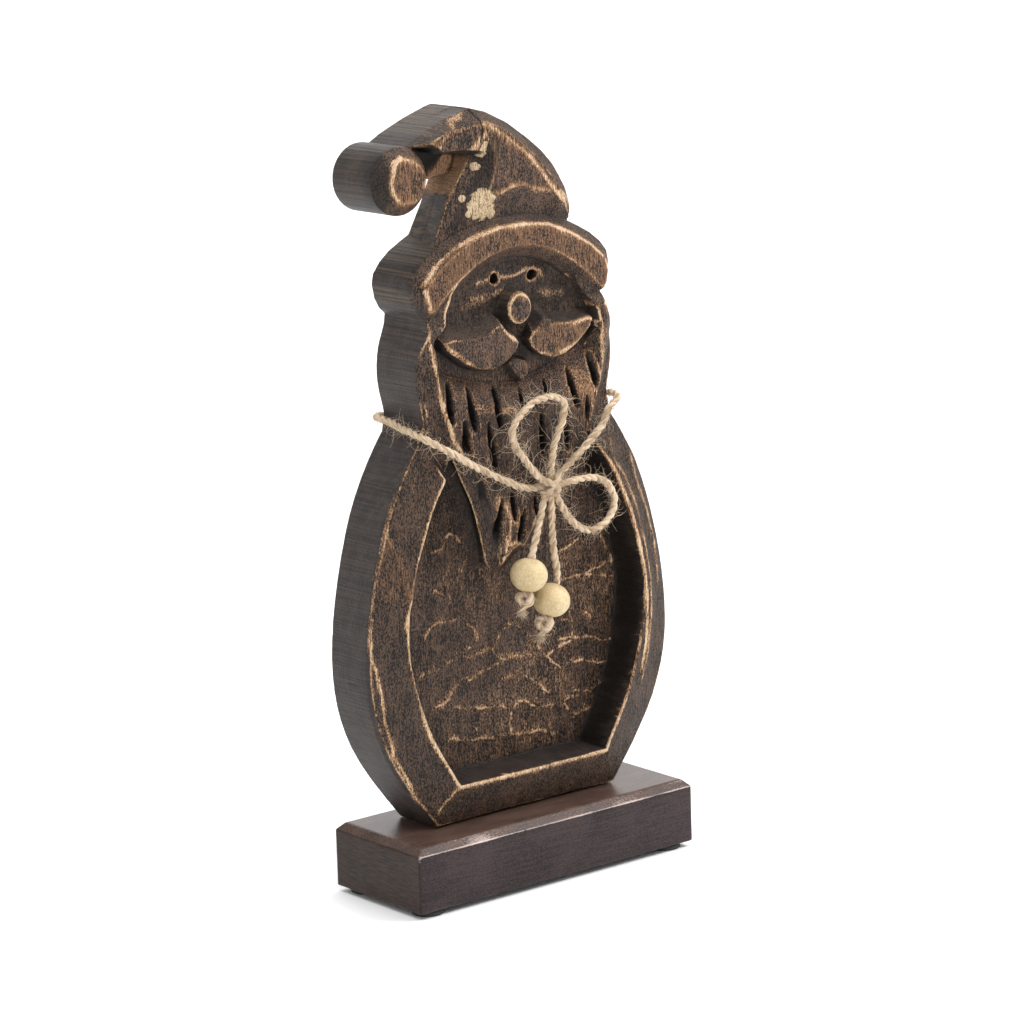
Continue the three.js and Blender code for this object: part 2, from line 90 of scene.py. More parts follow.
TAILS = {
    "left": {
        "route": [(8.2, -20.6, 170), (4.4, -21.4, 163), (1.7, -21.6, 154.9)],
        "middle": (-4, -21, 134.4),
        "lean": (0.24, 0, 1),
    },
    "right": {
        "route": [(9.6, -20.6, 169), (9.5, -20.8, 160), (9.8, -20.6, 146)],
        "middle": (9, -19.4, 121),
        "lean": (0.5, 0.06, 1),
    },
}
BEAD_WIDTH = 16.2
BEAD_HEIGHT = 14.6
BEAD_BORE = 4.2
TAIL_ENTRY = BEAD_HEIGHT / 2 + 1
END_KNOT_DROP = 9.9


# Curves and numbers

SPAN_SAMPLES = 24


def ramp(low, high, value):
    """0 at low to 1 at high, eased at both ends. low may be the greater one."""
    t = np.clip((value - low) / (high - low), 0, 1)
    return t * t * (3 - 2 * t)


def curve_through(points, spacing):
    """A centripetal Catmull-Rom curve through points, sampled at an even spacing."""
    p = np.array(points, float)
    p = np.vstack([2 * p[0] - p[1], p, 2 * p[-1] - p[-2]])
    sampled = []
    for a, b, c, d in zip(p[:-3], p[1:-2], p[2:-1], p[3:]):
        knots = np.cumsum([0] + [math.sqrt(np.linalg.norm(v - u)) for u, v in ((a, b), (b, c), (c, d))])
        t = np.linspace(knots[1], knots[2], SPAN_SAMPLES, endpoint=False)[:, None]

        def between(i, j, start, end):
            span = knots[j] - knots[i]
            return (knots[j] - t) / span * start + (t - knots[i]) / span * end

        ab, bc, cd = between(0, 1, a, b), between(1, 2, b, c), between(2, 3, c, d)
        sampled.append(between(1, 2, between(0, 2, ab, bc), between(1, 3, bc, cd)))
    return respaced(np.vstack([*sampled, p[-2]]), spacing)


def respaced(line, spacing):
    along = np.concatenate([[0], np.cumsum(np.linalg.norm(np.diff(line, axis=0), axis=1))])
    at = np.linspace(0, along[-1], max(3, round(along[-1] / spacing) + 1))
    return np.stack([np.interp(at, along, line[:, k]) for k in range(3)], axis=1)


def length_of(line):
    return float(np.linalg.norm(np.diff(line, axis=0), axis=1).sum())


def frames_along(line):
    """Tangents, and two directions across the line that turn as little as possible."""
    tangents = np.gradient(line, axis=0)
    tangents /= np.linalg.norm(tangents, axis=1)[:, None]
    across = np.zeros_like(line)
    first = np.cross(tangents[0], (0.3, 1.0, 0.2))
    across[0] = first / np.linalg.norm(first)
    for i in range(1, len(line)):
        turned = across[i - 1] - tangents[i] * (across[i - 1] @ tangents[i])
        across[i] = turned / np.linalg.norm(turned)
    return tangents, across, np.cross(tangents, across)


def cell_values(cells, seed):
    """A number from -1 to 1 for each whole-number cell."""
    c = cells.astype(np.int64).astype(np.uint32)
    h = c[..., 0] * np.uint32(374761393) + c[..., 1] * np.uint32(668265263)
    h = h + c[..., 2] * np.uint32(2246822519) + np.uint32(seed * 3266489917 % 2**32)
    h = (h ^ (h >> np.uint32(13))) * np.uint32(1274126177)
    h = h ^ (h >> np.uint32(16))
    return h.astype(float) / 2**31 - 1


def noise(points, size, seed, octaves=2):
    """Smooth noise from about -1 to 1. size is one feature size, or one for each axis."""
    total, weight = 0, 1.0
    scaled = points / np.array(size, float)
    for octave in range(octaves):
        base = np.floor(scaled)
        t = scaled - base
        t = t * t * (3 - 2 * t)
        value = 0
        for corner in np.ndindex(2, 2, 2):
            share = np.prod(np.where(corner, t, 1 - t), axis=1)
            value = value + share * cell_values(base + corner, seed + octave)
        total = total + value * weight
        scaled, weight = scaled * 2, weight * 0.5
    return total


def distance_to_line(x, z, line):
    """How far each (x, z) is from an open polyline."""
    best = np.full(len(x), 1e9)
    for (ax, az), (bx, bz) in zip(line[:-1], line[1:]):
        dx, dz = bx - ax, bz - az
        t = np.clip(((x - ax) * dx + (z - az) * dz) / (dx * dx + dz * dz), 0, 1)
        best = np.minimum(best, np.hypot(x - ax - t * dx, z - az - t * dz))
    return best


# Meshes

def placed(name, data):
    """A new object in the scene."""
    made = bpy.data.objects.new(name, data)
    bpy.context.scene.collection.objects.link(made)
    return made


def mesh_object(name, points, faces, material):
    """An object from points in millimetres and arrays of faces with equal corner counts."""
    mesh = bpy.data.meshes.new(name)
    mesh.from_pydata(np.asarray(points) * MM, [], [face for group in faces for face in group.tolist()])
    mesh.validate()
    mesh.polygons.foreach_set("use_smooth", np.ones(len(mesh.polygons), bool))
    mesh.materials.append(material)
    return placed(name, mesh)


def paint(mesh, **layers):
    for name, values in layers.items():
        layer = mesh.attributes.new(name, "FLOAT", "POINT")
        layer.data.foreach_set("value", np.asarray(values, np.float32))


def band_faces(rings, sides, closed=False):
    """Quads from each ring of points to the next, and from the last to the first when closed."""
    low = np.arange(rings if closed else rings - 1)[:, None] * sides
    high = (low + sides) % (rings * sides)
    i = np.arange(sides)[None, :]
    j = (i + 1) % sides
    return np.stack([low + i, low + j, high + j, high + i], -1).reshape(-1, 4)


def end_fans(rings, sides):
    """Triangles from the first and the last ring to the two points that follow the rings."""
    i = np.arange(sides)
    j = (i + 1) % sides
    end, tip = (rings - 1) * sides, rings * sides
    first = np.stack([j, i, np.full(sides, tip)], 1)
    last = np.stack([end + i, end + j, np.full(sides, tip + 1)], 1)
    return np.vstack([first, last])


def settle(piece, slot, *nodes):
    """Puts a finished piece on the body, in the place of its CAD nodes. slot is not used."""
    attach(piece, "root")
    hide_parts(*nodes)
    return piece


def shown(name, mesh, material, slot, node):
    """A finished mesh in the place of its CAD node."""
    mesh.polygons.foreach_set("use_smooth", np.ones(len(mesh.polygons), bool))
    mesh.materials.clear()
    mesh.materials.append(material)
    return settle(placed(name, mesh), slot, node)


def applied(source, kind, members=None, **settings):
    """A new mesh: source with a modifier, which may act on the member vertices alone."""
    work = placed("work", source)
    modifier = work.modifiers.new(kind, kind)
    for key, value in settings.items():
        setattr(modifier, key, value)
    if members is not None:
        work.vertex_groups.new(name="members").add(members, 1.0, "REPLACE")
        modifier.vertex_group = "members"
    made = bpy.data.meshes.new_from_object(work.evaluated_get(bpy.context.evaluated_depsgraph_get()))
    bpy.data.objects.remove(work)
    return made


def read(items, attribute, width, kind=np.float32):
    """An attribute of a mesh's vertices or edges, one row of numbers for each."""
    values = np.zeros(len(items) * width, kind)
    items.foreach_get(attribute, values)
    return values.reshape(-1, width)


def relaxed(values, edges, rounds):
    """Each vertex's values drawn half-way to its neighbours' mean, some rounds over."""
    values = values.copy()
    first, last = edges.T
    count = np.maximum(np.bincount(edges.ravel(), minlength=len(values)), 1)
    for _ in range(rounds):
        for column in np.atleast_2d(values.T):
            total = np.bincount(first, column[last], len(column))
            total += np.bincount(last, column[first], len(column))
            column += 0.5 * (total / count - column)
    return values


def proud(points, normals, edges, rounds):
    """How far each vertex stands out from the smoothed surface around it, in millimetres."""
    return ((points - relaxed(points, edges, rounds)) * normals).sum(1)


def thinned(surface, faces, plain_faces):
    """The surface as a mesh of at most so many triangles, plain_faces of them on its back and sides."""
    mesh = surface.painted()
    total = 2 * len(mesh.polygons)
    if total > faces:
        plain = np.flatnonzero((surface.front < 0.05) & (surface.y > 3.5))
        kept = total * (1 - len(plain) / len(surface.points)) + plain_faces
        mesh = applied(mesh, "DECIMATE", plain.tolist(), ratio=kept / total, use_collapse_triangulate=True)
        mesh = applied(mesh, "DECIMATE", ratio=faces / len(mesh.polygons), use_collapse_triangulate=True)
    return mesh


# Materials

class Tree:
    """A material's nodes. Each call adds a node and returns its main output socket."""

    def __init__(self, name):
        self.material = bpy.data.materials.new(name)
        self.material.use_nodes = True
        self.nodes = self.material.node_tree.nodes
        self.shader = next(n for n in self.nodes if n.type == "BSDF_PRINCIPLED")
        self.place = self.nodes.new("ShaderNodeTexCoord").outputs["Object"]

    def feed(self, node, values):
        """Sets a node's inputs, each to a number or to another node's output."""
        for key, value in values.items():
            if isinstance(value, bpy.types.NodeSocket):
                self.material.node_tree.links.new(value, node.inputs[key])
            else:
                node.inputs[key].default_value = value

    def add(self, kind, output, values, **settings):
        node = self.nodes.new("ShaderNode" + kind)
        for key, value in settings.items():
            setattr(node, key, value)
        self.feed(node, values)
        return node.outputs[output]

    def scaled(self, size_mm, shift_mm=(0, 0, 0)):
        """Object coordinates in units of size_mm, one size for each axis."""
        scale = [1 / (size * MM) for size in size_mm]
        shift = [s / size for s, size in zip(shift_mm, size_mm)]
        return self.add("Mapping", "Vector", {"Vector": self.place, "Scale": scale, "Location": shift})

    def noise(self, size_mm, detail=2, roughness=0.5, distortion=0):
        values = {"Detail": detail, "Roughness": roughness, "Distortion": distortion}
        return self.add("TexNoise", "Fac", {"Vector": self.scaled(size_mm), "Scale": 1, **values})

    def fleck(self, size_mm, low, high, **settings):
        """Noise with more contrast: 0 below low and 1 above high."""
        return self.step(self.noise(size_mm, **settings), low, high)

    def rings(self, period_mm, centre_mm, distortion):
        """Growth rings about an upright axis through centre_mm."""
        place = self.scaled((1, 1, 14), (-centre_mm[0], -centre_mm[1], 0))
        values = {"Distortion": distortion, "Detail": 2, "Detail Scale": 0.25}
        shape = {"wave_type": "RINGS", "rings_direction": "Z", "wave_profile": "SAW"}
        scale = math.pi / 10 / period_mm
        return self.add("TexWave", "Fac", {"Vector": place, "Scale": scale, **values}, **shape)

    def blot(self, centre_mm, radius_mm, wander):
        """1 within a radius of a place seen from the front, its edge moved by a wandering value."""
        centre = (centre_mm[0] * MM, 0, centre_mm[1] * MM)
        flat = self.add("VectorMath", "Vector", {0: self.place, 1: (1, 0, 1)}, operation="MULTIPLY")
        away = self.add("VectorMath", "Value", {0: flat, 1: centre}, operation="DISTANCE")
        reach = self.plus(self.math("DIVIDE", away, radius_mm * MM), wander)
        return self.step(reach, 0.92, 1.08, 1, 0)

    def layer(self, name):
        return self.add("Attribute", "Fac", {}, attribute_name=name)

    def math(self, operation, a, b=0.0, clamp=False):
        return self.add("Math", 0, {0: a, 1: b}, operation=operation, use_clamp=clamp)

    def plus(self, a, b, clamp=False):
        return self.math("ADD", a, b, clamp)

    def times(self, a, b, clamp=False):
        return self.math("MULTIPLY", a, b, clamp)

    def sum(self, *terms):
        """The sum of (socket, weight) pairs."""
        total = self.times(*terms[0])
        for socket, weight in terms[1:]:
            total = self.plus(total, self.times(socket, weight))
        return total

    def step(self, value, low, high, out_low=0, out_high=1):
        """Low to high on value becomes out_low to out_high, eased at both ends."""
        limits = {"From Min": low, "From Max": high, "To Min": out_low, "To Max": out_high}
        return self.add("MapRange", "Result", {"Value": value, **limits}, interpolation_type="SMOOTHSTEP")

    def mix(self, share, a, b):
        a, b = ((*c, 1) if isinstance(c, tuple) else c for c in (a, b))
        return self.add("Mix", 2, {0: share, 6: a, 7: b}, data_type="RGBA")

    def bump(self, height, depth_mm):
        return self.add("Bump", "Normal", {"Height": height, "Strength": 1, "Distance": depth_mm * MM})

    def finish(self, colour, roughness, **values):
        """The material, with more of the shader's inputs by name."""
        self.feed(self.shader, {"Base Color": colour, "Roughness": roughness, **values})
        return self.material


def stained_wood():
    """Dark espresso stain, rubbed back to brown and then to pale wood, with painted shade in its hollows."""
    t = Tree("stained_wood")
    grain = t.fleck((0.75, 0.75, 13), 0.33, 0.67, detail=4, roughness=0.6)
    fibre = t.fleck((0.36, 0.36, 4.5), 0.34, 0.66, detail=3, roughness=0.6)
    grit = t.fleck((0.48, 0.48, 1), 0.35, 0.65)
    patch = t.fleck((6, 6, 11), 0.32, 0.68, detail=3)
    saw = t.fleck((1, 60, 0.9), 0.33, 0.67, detail=4, roughness=0.65)
    board = t.fleck((3.6, 90, 3), 0.36, 0.62, detail=3)
    ragged = t.times(t.math("SUBTRACT", t.noise((2.2, 2.2, 2.2), detail=4), 0.5), 0.9)
    rings = t.rings(4.6, (26, 58), 1.6)
    sawn, wear, rub_and_sheen = t.layer("sawn"), t.layer("wear"), t.layer("rub_and_sheen")

    front_tone = t.sum((grain, 0.27), (fibre, 0.24), (grit, 0.48), (patch, 0.16), (rings, 0.05))
    front = t.mix(t.step(front_tone, 0.37, 0.8), (0.0045, 0.0028, 0.0018), (0.106, 0.064, 0.043))
    streaky = t.times(t.layer("streaky"), t.plus(t.times(board, 1.2), -0.3), clamp=True)
    side_tone = t.sum((saw, 0.34), (grain, 0.13), (patch, 0.15), (rings, 0.1), (grit, 0.16))
    side = t.mix(t.step(side_tone, 0.15, 0.75), (0.02, 0.015, 0.013), (0.052, 0.04, 0.035))
    side = t.mix(t.times(streaky, saw), side, (0.118, 0.078, 0.048))
    stain = t.mix(sawn, front, side)
    # Brown of rubbed stain; on the beard's top it also stands for a painted sheen.
    brown = t.mix(fibre, (0.075, 0.034, 0.016), (0.25, 0.13, 0.066))
    tan = t.mix(grain, (0.3, 0.165, 0.08), (0.48, 0.3, 0.17))
    pale = t.mix(t.sum((grain, 0.5), (fibre, 0.5)), (0.5, 0.33, 0.185), (0.78, 0.6, 0.42))

    broken = t.sum((fibre, 0.44), (grit, 0.56), (patch, 0.22), (1, -0.62))
    worn = t.plus(wear, t.times(broken, 0.85))
    amount = t.math("SUBTRACT", 0.72, t.times(sawn, 0.6))
    rubbed = t.plus(t.plus(wear, rub_and_sheen), t.times(broken, amount))
    pale_share = t.step(worn, 0.42, 0.68)
    bare = t.mix(t.step(worn, 0.72, 1.05), tan, pale)
    colour = t.mix(pale_share, t.mix(t.step(rubbed, 0.2, 0.6), stain, brown), bare)

    raw_tone = t.sum((grit, 0.45), (saw, 0.25), (fibre, 0.3))
    raw = t.mix(raw_tone, (0.1, 0.042, 0.018), (0.6, 0.36, 0.21))
    colour = t.mix(t.layer("rasped"), colour, raw)
    putty_tone = t.step(t.sum((fibre, 0.6), (grit, 0.4)), 0.2, 0.7)
    filler = t.mix(putty_tone, (0.22, 0.14, 0.07), (0.62, 0.47, 0.3))
    putty = 0
    for centre, radius in FILLER:
        putty = t.plus(putty, t.blot(centre, radius, ragged), clamp=True)
    # This layer is mostly painted shade, in hollows, slots, recesses and under overhangs, with some darker
    # stain: where it is high the colour goes nearly black.
    colour = t.mix(t.layer("shade_and_grime"), colour, (0.0055, 0.0042, 0.0036))
    colour = t.mix(t.times(putty, t.layer("puttied")), colour, filler)

    carved = t.sum((grain, 0.4), (fibre, 0.3), (grit, 0.4))
    height = t.mix(sawn, carved, t.sum((saw, 0.5), (grit, 0.3)))
    matt = t.plus(t.plus(pale_share, t.layer("rasped")), t.times(sawn, -0.35))
    roughness = t.step(matt, -0.35, 1, 0.46, 0.85)
    return t.finish(colour, roughness, Normal=t.bump(height, 0.25), **{"Specular IOR Level": 0.26})


def plinth_wood():
    """Satin purple-brown stain on a smooth block, its grain along X, with painted light making its top
    lighter and painted shade its left end darker.
    """
    t = Tree("plinth_wood")
    grain = t.noise((14, 0.8, 0.8), detail=5, roughness=0.6)
    pores = t.noise((3, 0.34, 0.34), detail=3)
    patch = t.noise((26, 16, 16), detail=3, distortion=0.6)
    speckle = t.noise((0.8, 0.5, 0.5), detail=3)
    tone = t.sum((grain, 0.6), (patch, 0.5), (pores, 0.15))
    tone = t.plus(tone, t.times(t.math("SUBTRACT", speckle, 0.5), 0.9))
    tone = t.step(tone, 0.35, 0.85)
    side = t.mix(tone, (0.014, 0.009, 0.0095), (0.048, 0.032, 0.033))
    # Painted light: faces that look up take this lighter copy of the tone.
    upper = t.mix(tone, (0.033, 0.02, 0.016), (0.12, 0.072, 0.055))
    # Painted shade: the left end takes a darker colour, streaked across.
    across = t.fleck((9, 7, 0.55), 0.35, 0.68, detail=4, roughness=0.65)
    dim = t.mix(across, (0.0055, 0.0022, 0.001), (0.041, 0.019, 0.0105))
    colour = t.mix(t.layer("top"), t.mix(t.layer("shaded"), side, dim), upper)
    broken = t.sum((speckle, 0.7), (patch, 0.6), (pores, 0.4), (1, -0.85))
    worn = t.plus(t.layer("wear"), t.times(broken, 0.9))
    # Worn grey; on the chamfers that face front and left it is partly a painted reflection.
    colour = t.mix(t.step(worn, 0.4, 0.85), colour, (0.42, 0.33, 0.3))
    colour = t.mix(t.step(worn, 0.85, 1.25), colour, (0.74, 0.63, 0.55))
    normal = t.bump(t.sum((grain, 0.6), (pores, 0.4)), 0.1)
    roughness = t.step(t.sum((worn, 0.5), (patch, 0.3)), 0.1, 0.7, 0.3, 0.55)
    return t.finish(colour, roughness, Normal=normal, **{"Specular IOR Level": 0.21})


def foot_rubber():
    t = Tree("foot_rubber")
    grit = t.noise((0.5, 0.5, 0.5), detail=3)
    colour = t.mix(t.step(grit, 0.3, 0.7), (0.008, 0.008, 0.008), (0.024, 0.023, 0.022))
    return t.finish(colour, 0.6, Normal=t.bump(grit, 0.08))


def jute():
    """Straw-coloured bast fibre, each strand streaked along its own twist."""
    t = Tree("jute")
    lay = t.layer("lay")
    fleck = t.noise((1.4, 1.4, 1.4), detail=4)
    fine = t.noise((0.22, 0.22, 0.22), detail=3)
    tone = t.sum((lay, 0.8), (fleck, 0.5), (fine, 0.3))
    colour = t.mix(t.step(tone, 0.35, 1.1), (0.3, 0.19, 0.105), (0.7, 0.545, 0.375))
    normal = t.bump(t.sum((fine, 0.6), (lay, 0.6)), 0.12)
    return t.finish(colour, 0.9, Normal=normal, **{"Sheen Weight": 0.25, "Sheen Roughness": 0.5})


def bead_wood():
    """Bare turned wood with a fine fleck, a little darker in its pores."""
    t = Tree("bead_wood")
    fleck = t.noise((0.5, 0.5, 1.1), detail=4, roughness=0.65)
    tone = t.sum((fleck, 0.75), (t.noise((6, 6, 6)), 0.45))
    colour = t.mix(t.step(tone, 0.35, 0.85), (0.46, 0.33, 0.155), (0.74, 0.6, 0.37))
    return t.finish(colour, 0.5, Normal=t.bump(fleck, 0.12))


def floor_paint():
    return Tree("floor_paint").finish((0.93, 0.93, 0.93, 1), 0.8)


# Stage

LAMPS_AIM = (0, 0, 0.17)
FLOOR_HALF = 20000


def stand_camera():
    yaw, pitch, roll = (math.radians(a) for a in (CAMERA_YAW, CAMERA_PITCH, CAMERA_ROLL))
    back = Vector((math.sin(yaw) * math.cos(pitch), -math.cos(yaw) * math.cos(pitch), math.sin(pitch)))
    level = (-back).cross(Vector((0, 0, 1))).normalized()
    upright = level.cross(-back)
    right = level * math.cos(roll) + upright * math.sin(roll)
    up = upright * math.cos(roll) - level * math.sin(roll)
    place = Vector(CAMERA_TARGET) + back * CAMERA_DISTANCE
    data = bpy.data.cameras.new("camera")
    data.sensor_fit = "AUTO"
    data.sensor_width = 36
    data.lens = CAMERA_LENS
    data.clip_start, data.clip_end = 0.05, 50
    camera = placed("camera", data)
    camera.matrix_world = Matrix.Translation(place * MM) @ Matrix((right, up, back)).transposed().to_4x4()
    bpy.context.scene.camera = camera


def area_light(name, place, size, watts):
    """A square lamp at place, in metres, that faces the figure."""
    data = bpy.data.lights.new(name, "AREA")
    data.size = size
    data.energy = watts
    lamp = placed(name, data)
    lamp.location = place
    lamp.rotation_mode = "QUATERNION"
    lamp.rotation_quaternion = (Vector(LAMPS_AIM) - Vector(place)).to_track_quat("-Z", "Y")


def light_studio():
    scene = bpy.context.scene
    scene.world = bpy.data.worlds.new("studio")
    scene.world.use_nodes = True
    background = scene.world.node_tree.nodes["Background"]
    background.inputs["Color"].default_value = (1, 1, 1, 1)
    background.inputs["Strength"].default_value = 0.64
    area_light("key", (1.1, -1.0, 1.5), 0.8, 23)
    area_light("fill", (-1.4, -1.2, 0.9), 1.2, 2.6)
    area_light("backdrop", (2.2, 3.0, 1.3), 2.8, 30)
    sky = bpy.data.lights.new("overhead", "SUN")
    sky.energy = 2.3
    sky.angle = math.radians(70)
    placed("overhead", sky).location = (0, 0, 2)
    scene.view_settings.view_transform = "Standard"


def lay_floor():
    corners = np.array([(-1, -1, 0), (1, -1, 0), (1, 1, 0), (-1, 1, 0)]) * FLOOR_HALF
    floor = mesh_object("floor", corners, [np.array([[0, 1, 2, 3]])], floor_paint())


# Twine

HAIR_WIDTH = 0.16
HAIR_STEPS = 11
FRAYED_FIBRES = 150
ROUTE_STEP = 0.5
KNOT_STEP = 0.4
PLY_SQUASH = 1.26
STRAND_SIDES = 10
STRAND_STEP = 0.55
TUBE_ROUGHNESS = 0.1
END_KNOT_TURNS = [
    (1.7, 1, -0.5), (0, 0.4, -1.9), (-1.9, -0.4, 0), (0, -0.5, 1.5), (1.4, 1.1, 0.9),
    (1, 1.3, -1.2), (-0.6, 0.8, -2.6), (-1.2, 0.6, -4.4),
]
KNOT_WRAPS = [
    [(5.2, -19.4, 174), (6.4, -22.6, 172.8), (9.2, -24, 171), (11.8, -22.8, 168.6), (12.6, -19.4, 166.8)],
    [(6.2, -19.6, 167.4), (7.2, -22.6, 168.8), (9.6, -23.6, 171.6), (12.4, -22.6, 173.6), (14, -19.6, 174.6)],
]


def tube(line, radii, sides, seed):
    """Points, quads and end fans of a tube with a radius at each point of the line."""
    _, across, over = frames_along(line)
    turn = np.arange(sides) / sides * 2 * math.pi
    ring = across[:, None] * np.cos(turn)[None, :, None] + over[:, None] * np.sin(turn)[None, :, None]
    around, along = np.meshgrid(turn * 2, np.arange(len(line)) * 0.13, indexing="ij")
    rough = noise(np.stack([around, along, 0 * along], -1).reshape(-1, 3), 1.0, seed, 1)
    rough = 1 + TUBE_ROUGHNESS * rough.reshape(sides, len(line)).T
    points = line[:, None] + ring * (np.asarray(radii)[:, None] * rough)[:, :, None]
    points = np.vstack([points.reshape(-1, 3), line[0], line[-1]])
    lay = np.concatenate([(rough - 1 + TUBE_ROUGHNESS).ravel() / 2 / TUBE_ROUGHNESS, [0.5, 0.5]])
    return points, band_faces(len(line), sides), end_fans(len(line), sides), lay


def plied(line, seed, width=TWINE, pitch=PLY_PITCH):
    """Twisted strands that follow the line."""
    line = respaced(line, STRAND_STEP)
    _, across, over = frames_along(line)
    along = np.arange(len(line)) * STRAND_STEP
    reach = width / 2
    strand = reach / (1 + 1 / math.sin(math.pi / PLIES)) * PLY_SQUASH
    offset = reach - strand
    parts = []
    for ply in range(PLIES):
        turn = 2 * math.pi * (along / pitch + ply / PLIES)
        turn = turn + 0.25 * noise(np.outer(along, (1, 0, 0)), 9.0, seed + 7, 2)
        middle = line + offset * (across * np.cos(turn)[:, None] + over * np.sin(turn)[:, None])
        swell = 1 + 0.17 * noise(np.outer(along, (1, 0, 0)) + ply * 40, 5.0, seed, 2)
        parts.append(tube(middle, strand * swell, STRAND_SIDES, seed + ply))
    return parts


def hairs(line, count, seed, reach, lift=0.55, droop=0.0):
    """Loose fibres that leave the twine's surface and curl."""
    rng = np.random.default_rng(seed)
    tangents, across, over = frames_along(line)
    parts = []
    for _ in range(count):
        i = rng.integers(0, len(line))
        angle = rng.uniform(0, 2 * math.pi)
        out = across[i] * math.cos(angle) + over[i] * math.sin(angle)
        along = tangents[i] * rng.choice((-1, 1))
        direction = along + out * rng.uniform(0.05, 1.6 * lift) + rng.normal(0, 0.2, 3)
        direction /= np.linalg.norm(direction)
        length = rng.uniform(*reach) * rng.uniform(0.5, 1)
        axis = rng.normal(0, 1, 3)
        axis /= np.linalg.norm(axis)
        curl = rng.normal(0, 3.4) / length
        places = [line[i] + out * TWINE * 0.42]
        for _ in range(HAIR_STEPS):
            stride = length / HAIR_STEPS
            direction = direction + np.cross(axis, direction) * curl * stride + rng.normal(0, 0.1, 3)
            direction[2] -= droop * stride
            direction /= np.linalg.norm(direction)
            places.append(places[-1] + direction * stride)
        radii = HAIR_WIDTH / 2 * np.linspace(1, 0.45, HAIR_STEPS + 1) * rng.uniform(0.7, 1.2)
        parts.append(tube(np.array(places), radii, 3, seed))
    return parts


def twine_piece(name, parts, material):
    """Several tubes as one piece, with the lay values that its material reads."""
    points, quads, fans, lay = zip(*parts)
    offsets = np.cumsum([0] + [len(p) for p in points[:-1]])
    faces = [np.vstack([f + offset for f, offset in zip(kind, offsets)]) for kind in (quads, fans)]
    piece = mesh_object(name, np.vstack(points), faces, material)
    paint(piece.data, lay=np.concatenate(lay))
    return settle(piece, "jute", "jute_twine")


def along_tail(tail, distance):
    lean = np.array(tail["lean"], float)
    return np.array(tail["middle"]) + lean / np.linalg.norm(lean) * distance


def end_knot_parts(tail, seed):
    """A tight overhand knot and a frayed stub under the bead."""
    top = along_tail(tail, -BEAD_HEIGHT / 2 + 0.5)
    down = along_tail(tail, -END_KNOT_DROP)
    side, away = np.array((0.8, -0.6, 0)) * 1.5, np.array((-0.6, -0.8, 0)) * 0.9 * 1.5
    steps = np.array([side, away, (0, 0, 1.25)])
    turns = [down + np.array(place) @ steps for place in END_KNOT_TURNS]
    line = curve_through([top, (top + down) / 2 + side * 0.6, *turns], KNOT_STEP)
    parts = plied(line, seed, width=TWINE * 1.08, pitch=PLY_PITCH * 0.8)
    rng = np.random.default_rng(seed)
    t = np.linspace(0, 1, 6)[:, None]
    for _ in range(FRAYED_FIBRES):
        aim = np.array((rng.normal(-0.1, 0.5), rng.normal(0, 0.35), -rng.uniform(0.3, 1)))
        aim /= np.linalg.norm(aim)
        start = line[-1] + rng.normal(0, 0.6, 3)
        bend = rng.normal(0, 0.4, 3)
        length = rng.uniform(1, 2.6)
        fibre = start + aim * t * length + bend * t * t * length
        parts.append(tube(fibre, np.linspace(0.16, 0.05, 6), 3, seed))
    return parts + hairs(line, 130, seed + 1, reach=(1.5, 5), lift=0.9)


def tie_bow(wood, material):
    """The neck loop, the bow's two loops, its knot and the two tails, as twisted twine pieces."""
    neck, upper, right = (curve_through(route, ROUTE_STEP) for route in (NECK_ROUTE, UPPER_LOOP, RIGHT_LOOP))
    knot_lines = [curve_through(wrap, KNOT_STEP) for wrap in KNOT_WRAPS]
    knot_parts = [p for k, line in enumerate(knot_lines) for p in plied(line, 40 + k)]
    knot_parts += hairs(np.vstack(knot_lines), 260, 45, reach=(3, 11), lift=1)
    bow_knot = twine_piece("bow_knot", knot_parts, material)

    def declare(name, line, seed, fuzz, far_end, lay, others=(), **hair):
        piece = twine_piece(name, plied(line, seed), material)
        loose = twine_piece(name + "_fuzz", hairs(line, fuzz, seed + 3, **hair), material)
        length_of(line) * MM

    declare("twine_neck", neck, 1, 800, "object", "taut", [bow_knot], reach=(4, 16), droop=0.04)
    declare("twine_upper_loop", upper, 11, 330, "object", "loose", reach=(4, 17))
    declare("twine_right_loop", right, 21, 280, "object", "loose", reach=(4, 14))
    for k, (hand, tail) in enumerate(TAILS.items()):
        through = [along_tail(tail, TAIL_ENTRY), along_tail(tail, -BEAD_HEIGHT / 2)]
        line = curve_through([*tail["route"], *through], ROUTE_STEP)
        bead = turned_bead(f"turned_bead_{hand}", tail, 60 + k, wood)
        settle(bead, "bead_wood", f"bead_{hand}")
        end = twine_piece(f"end_knot_{hand}", end_knot_parts(tail, 70 + k), material)
        declare(f"twine_tail_{hand}", line, 31 + 10 * k, 90, "knot", "hanging", [bead, end], reach=(1.5, 5))


# Bead

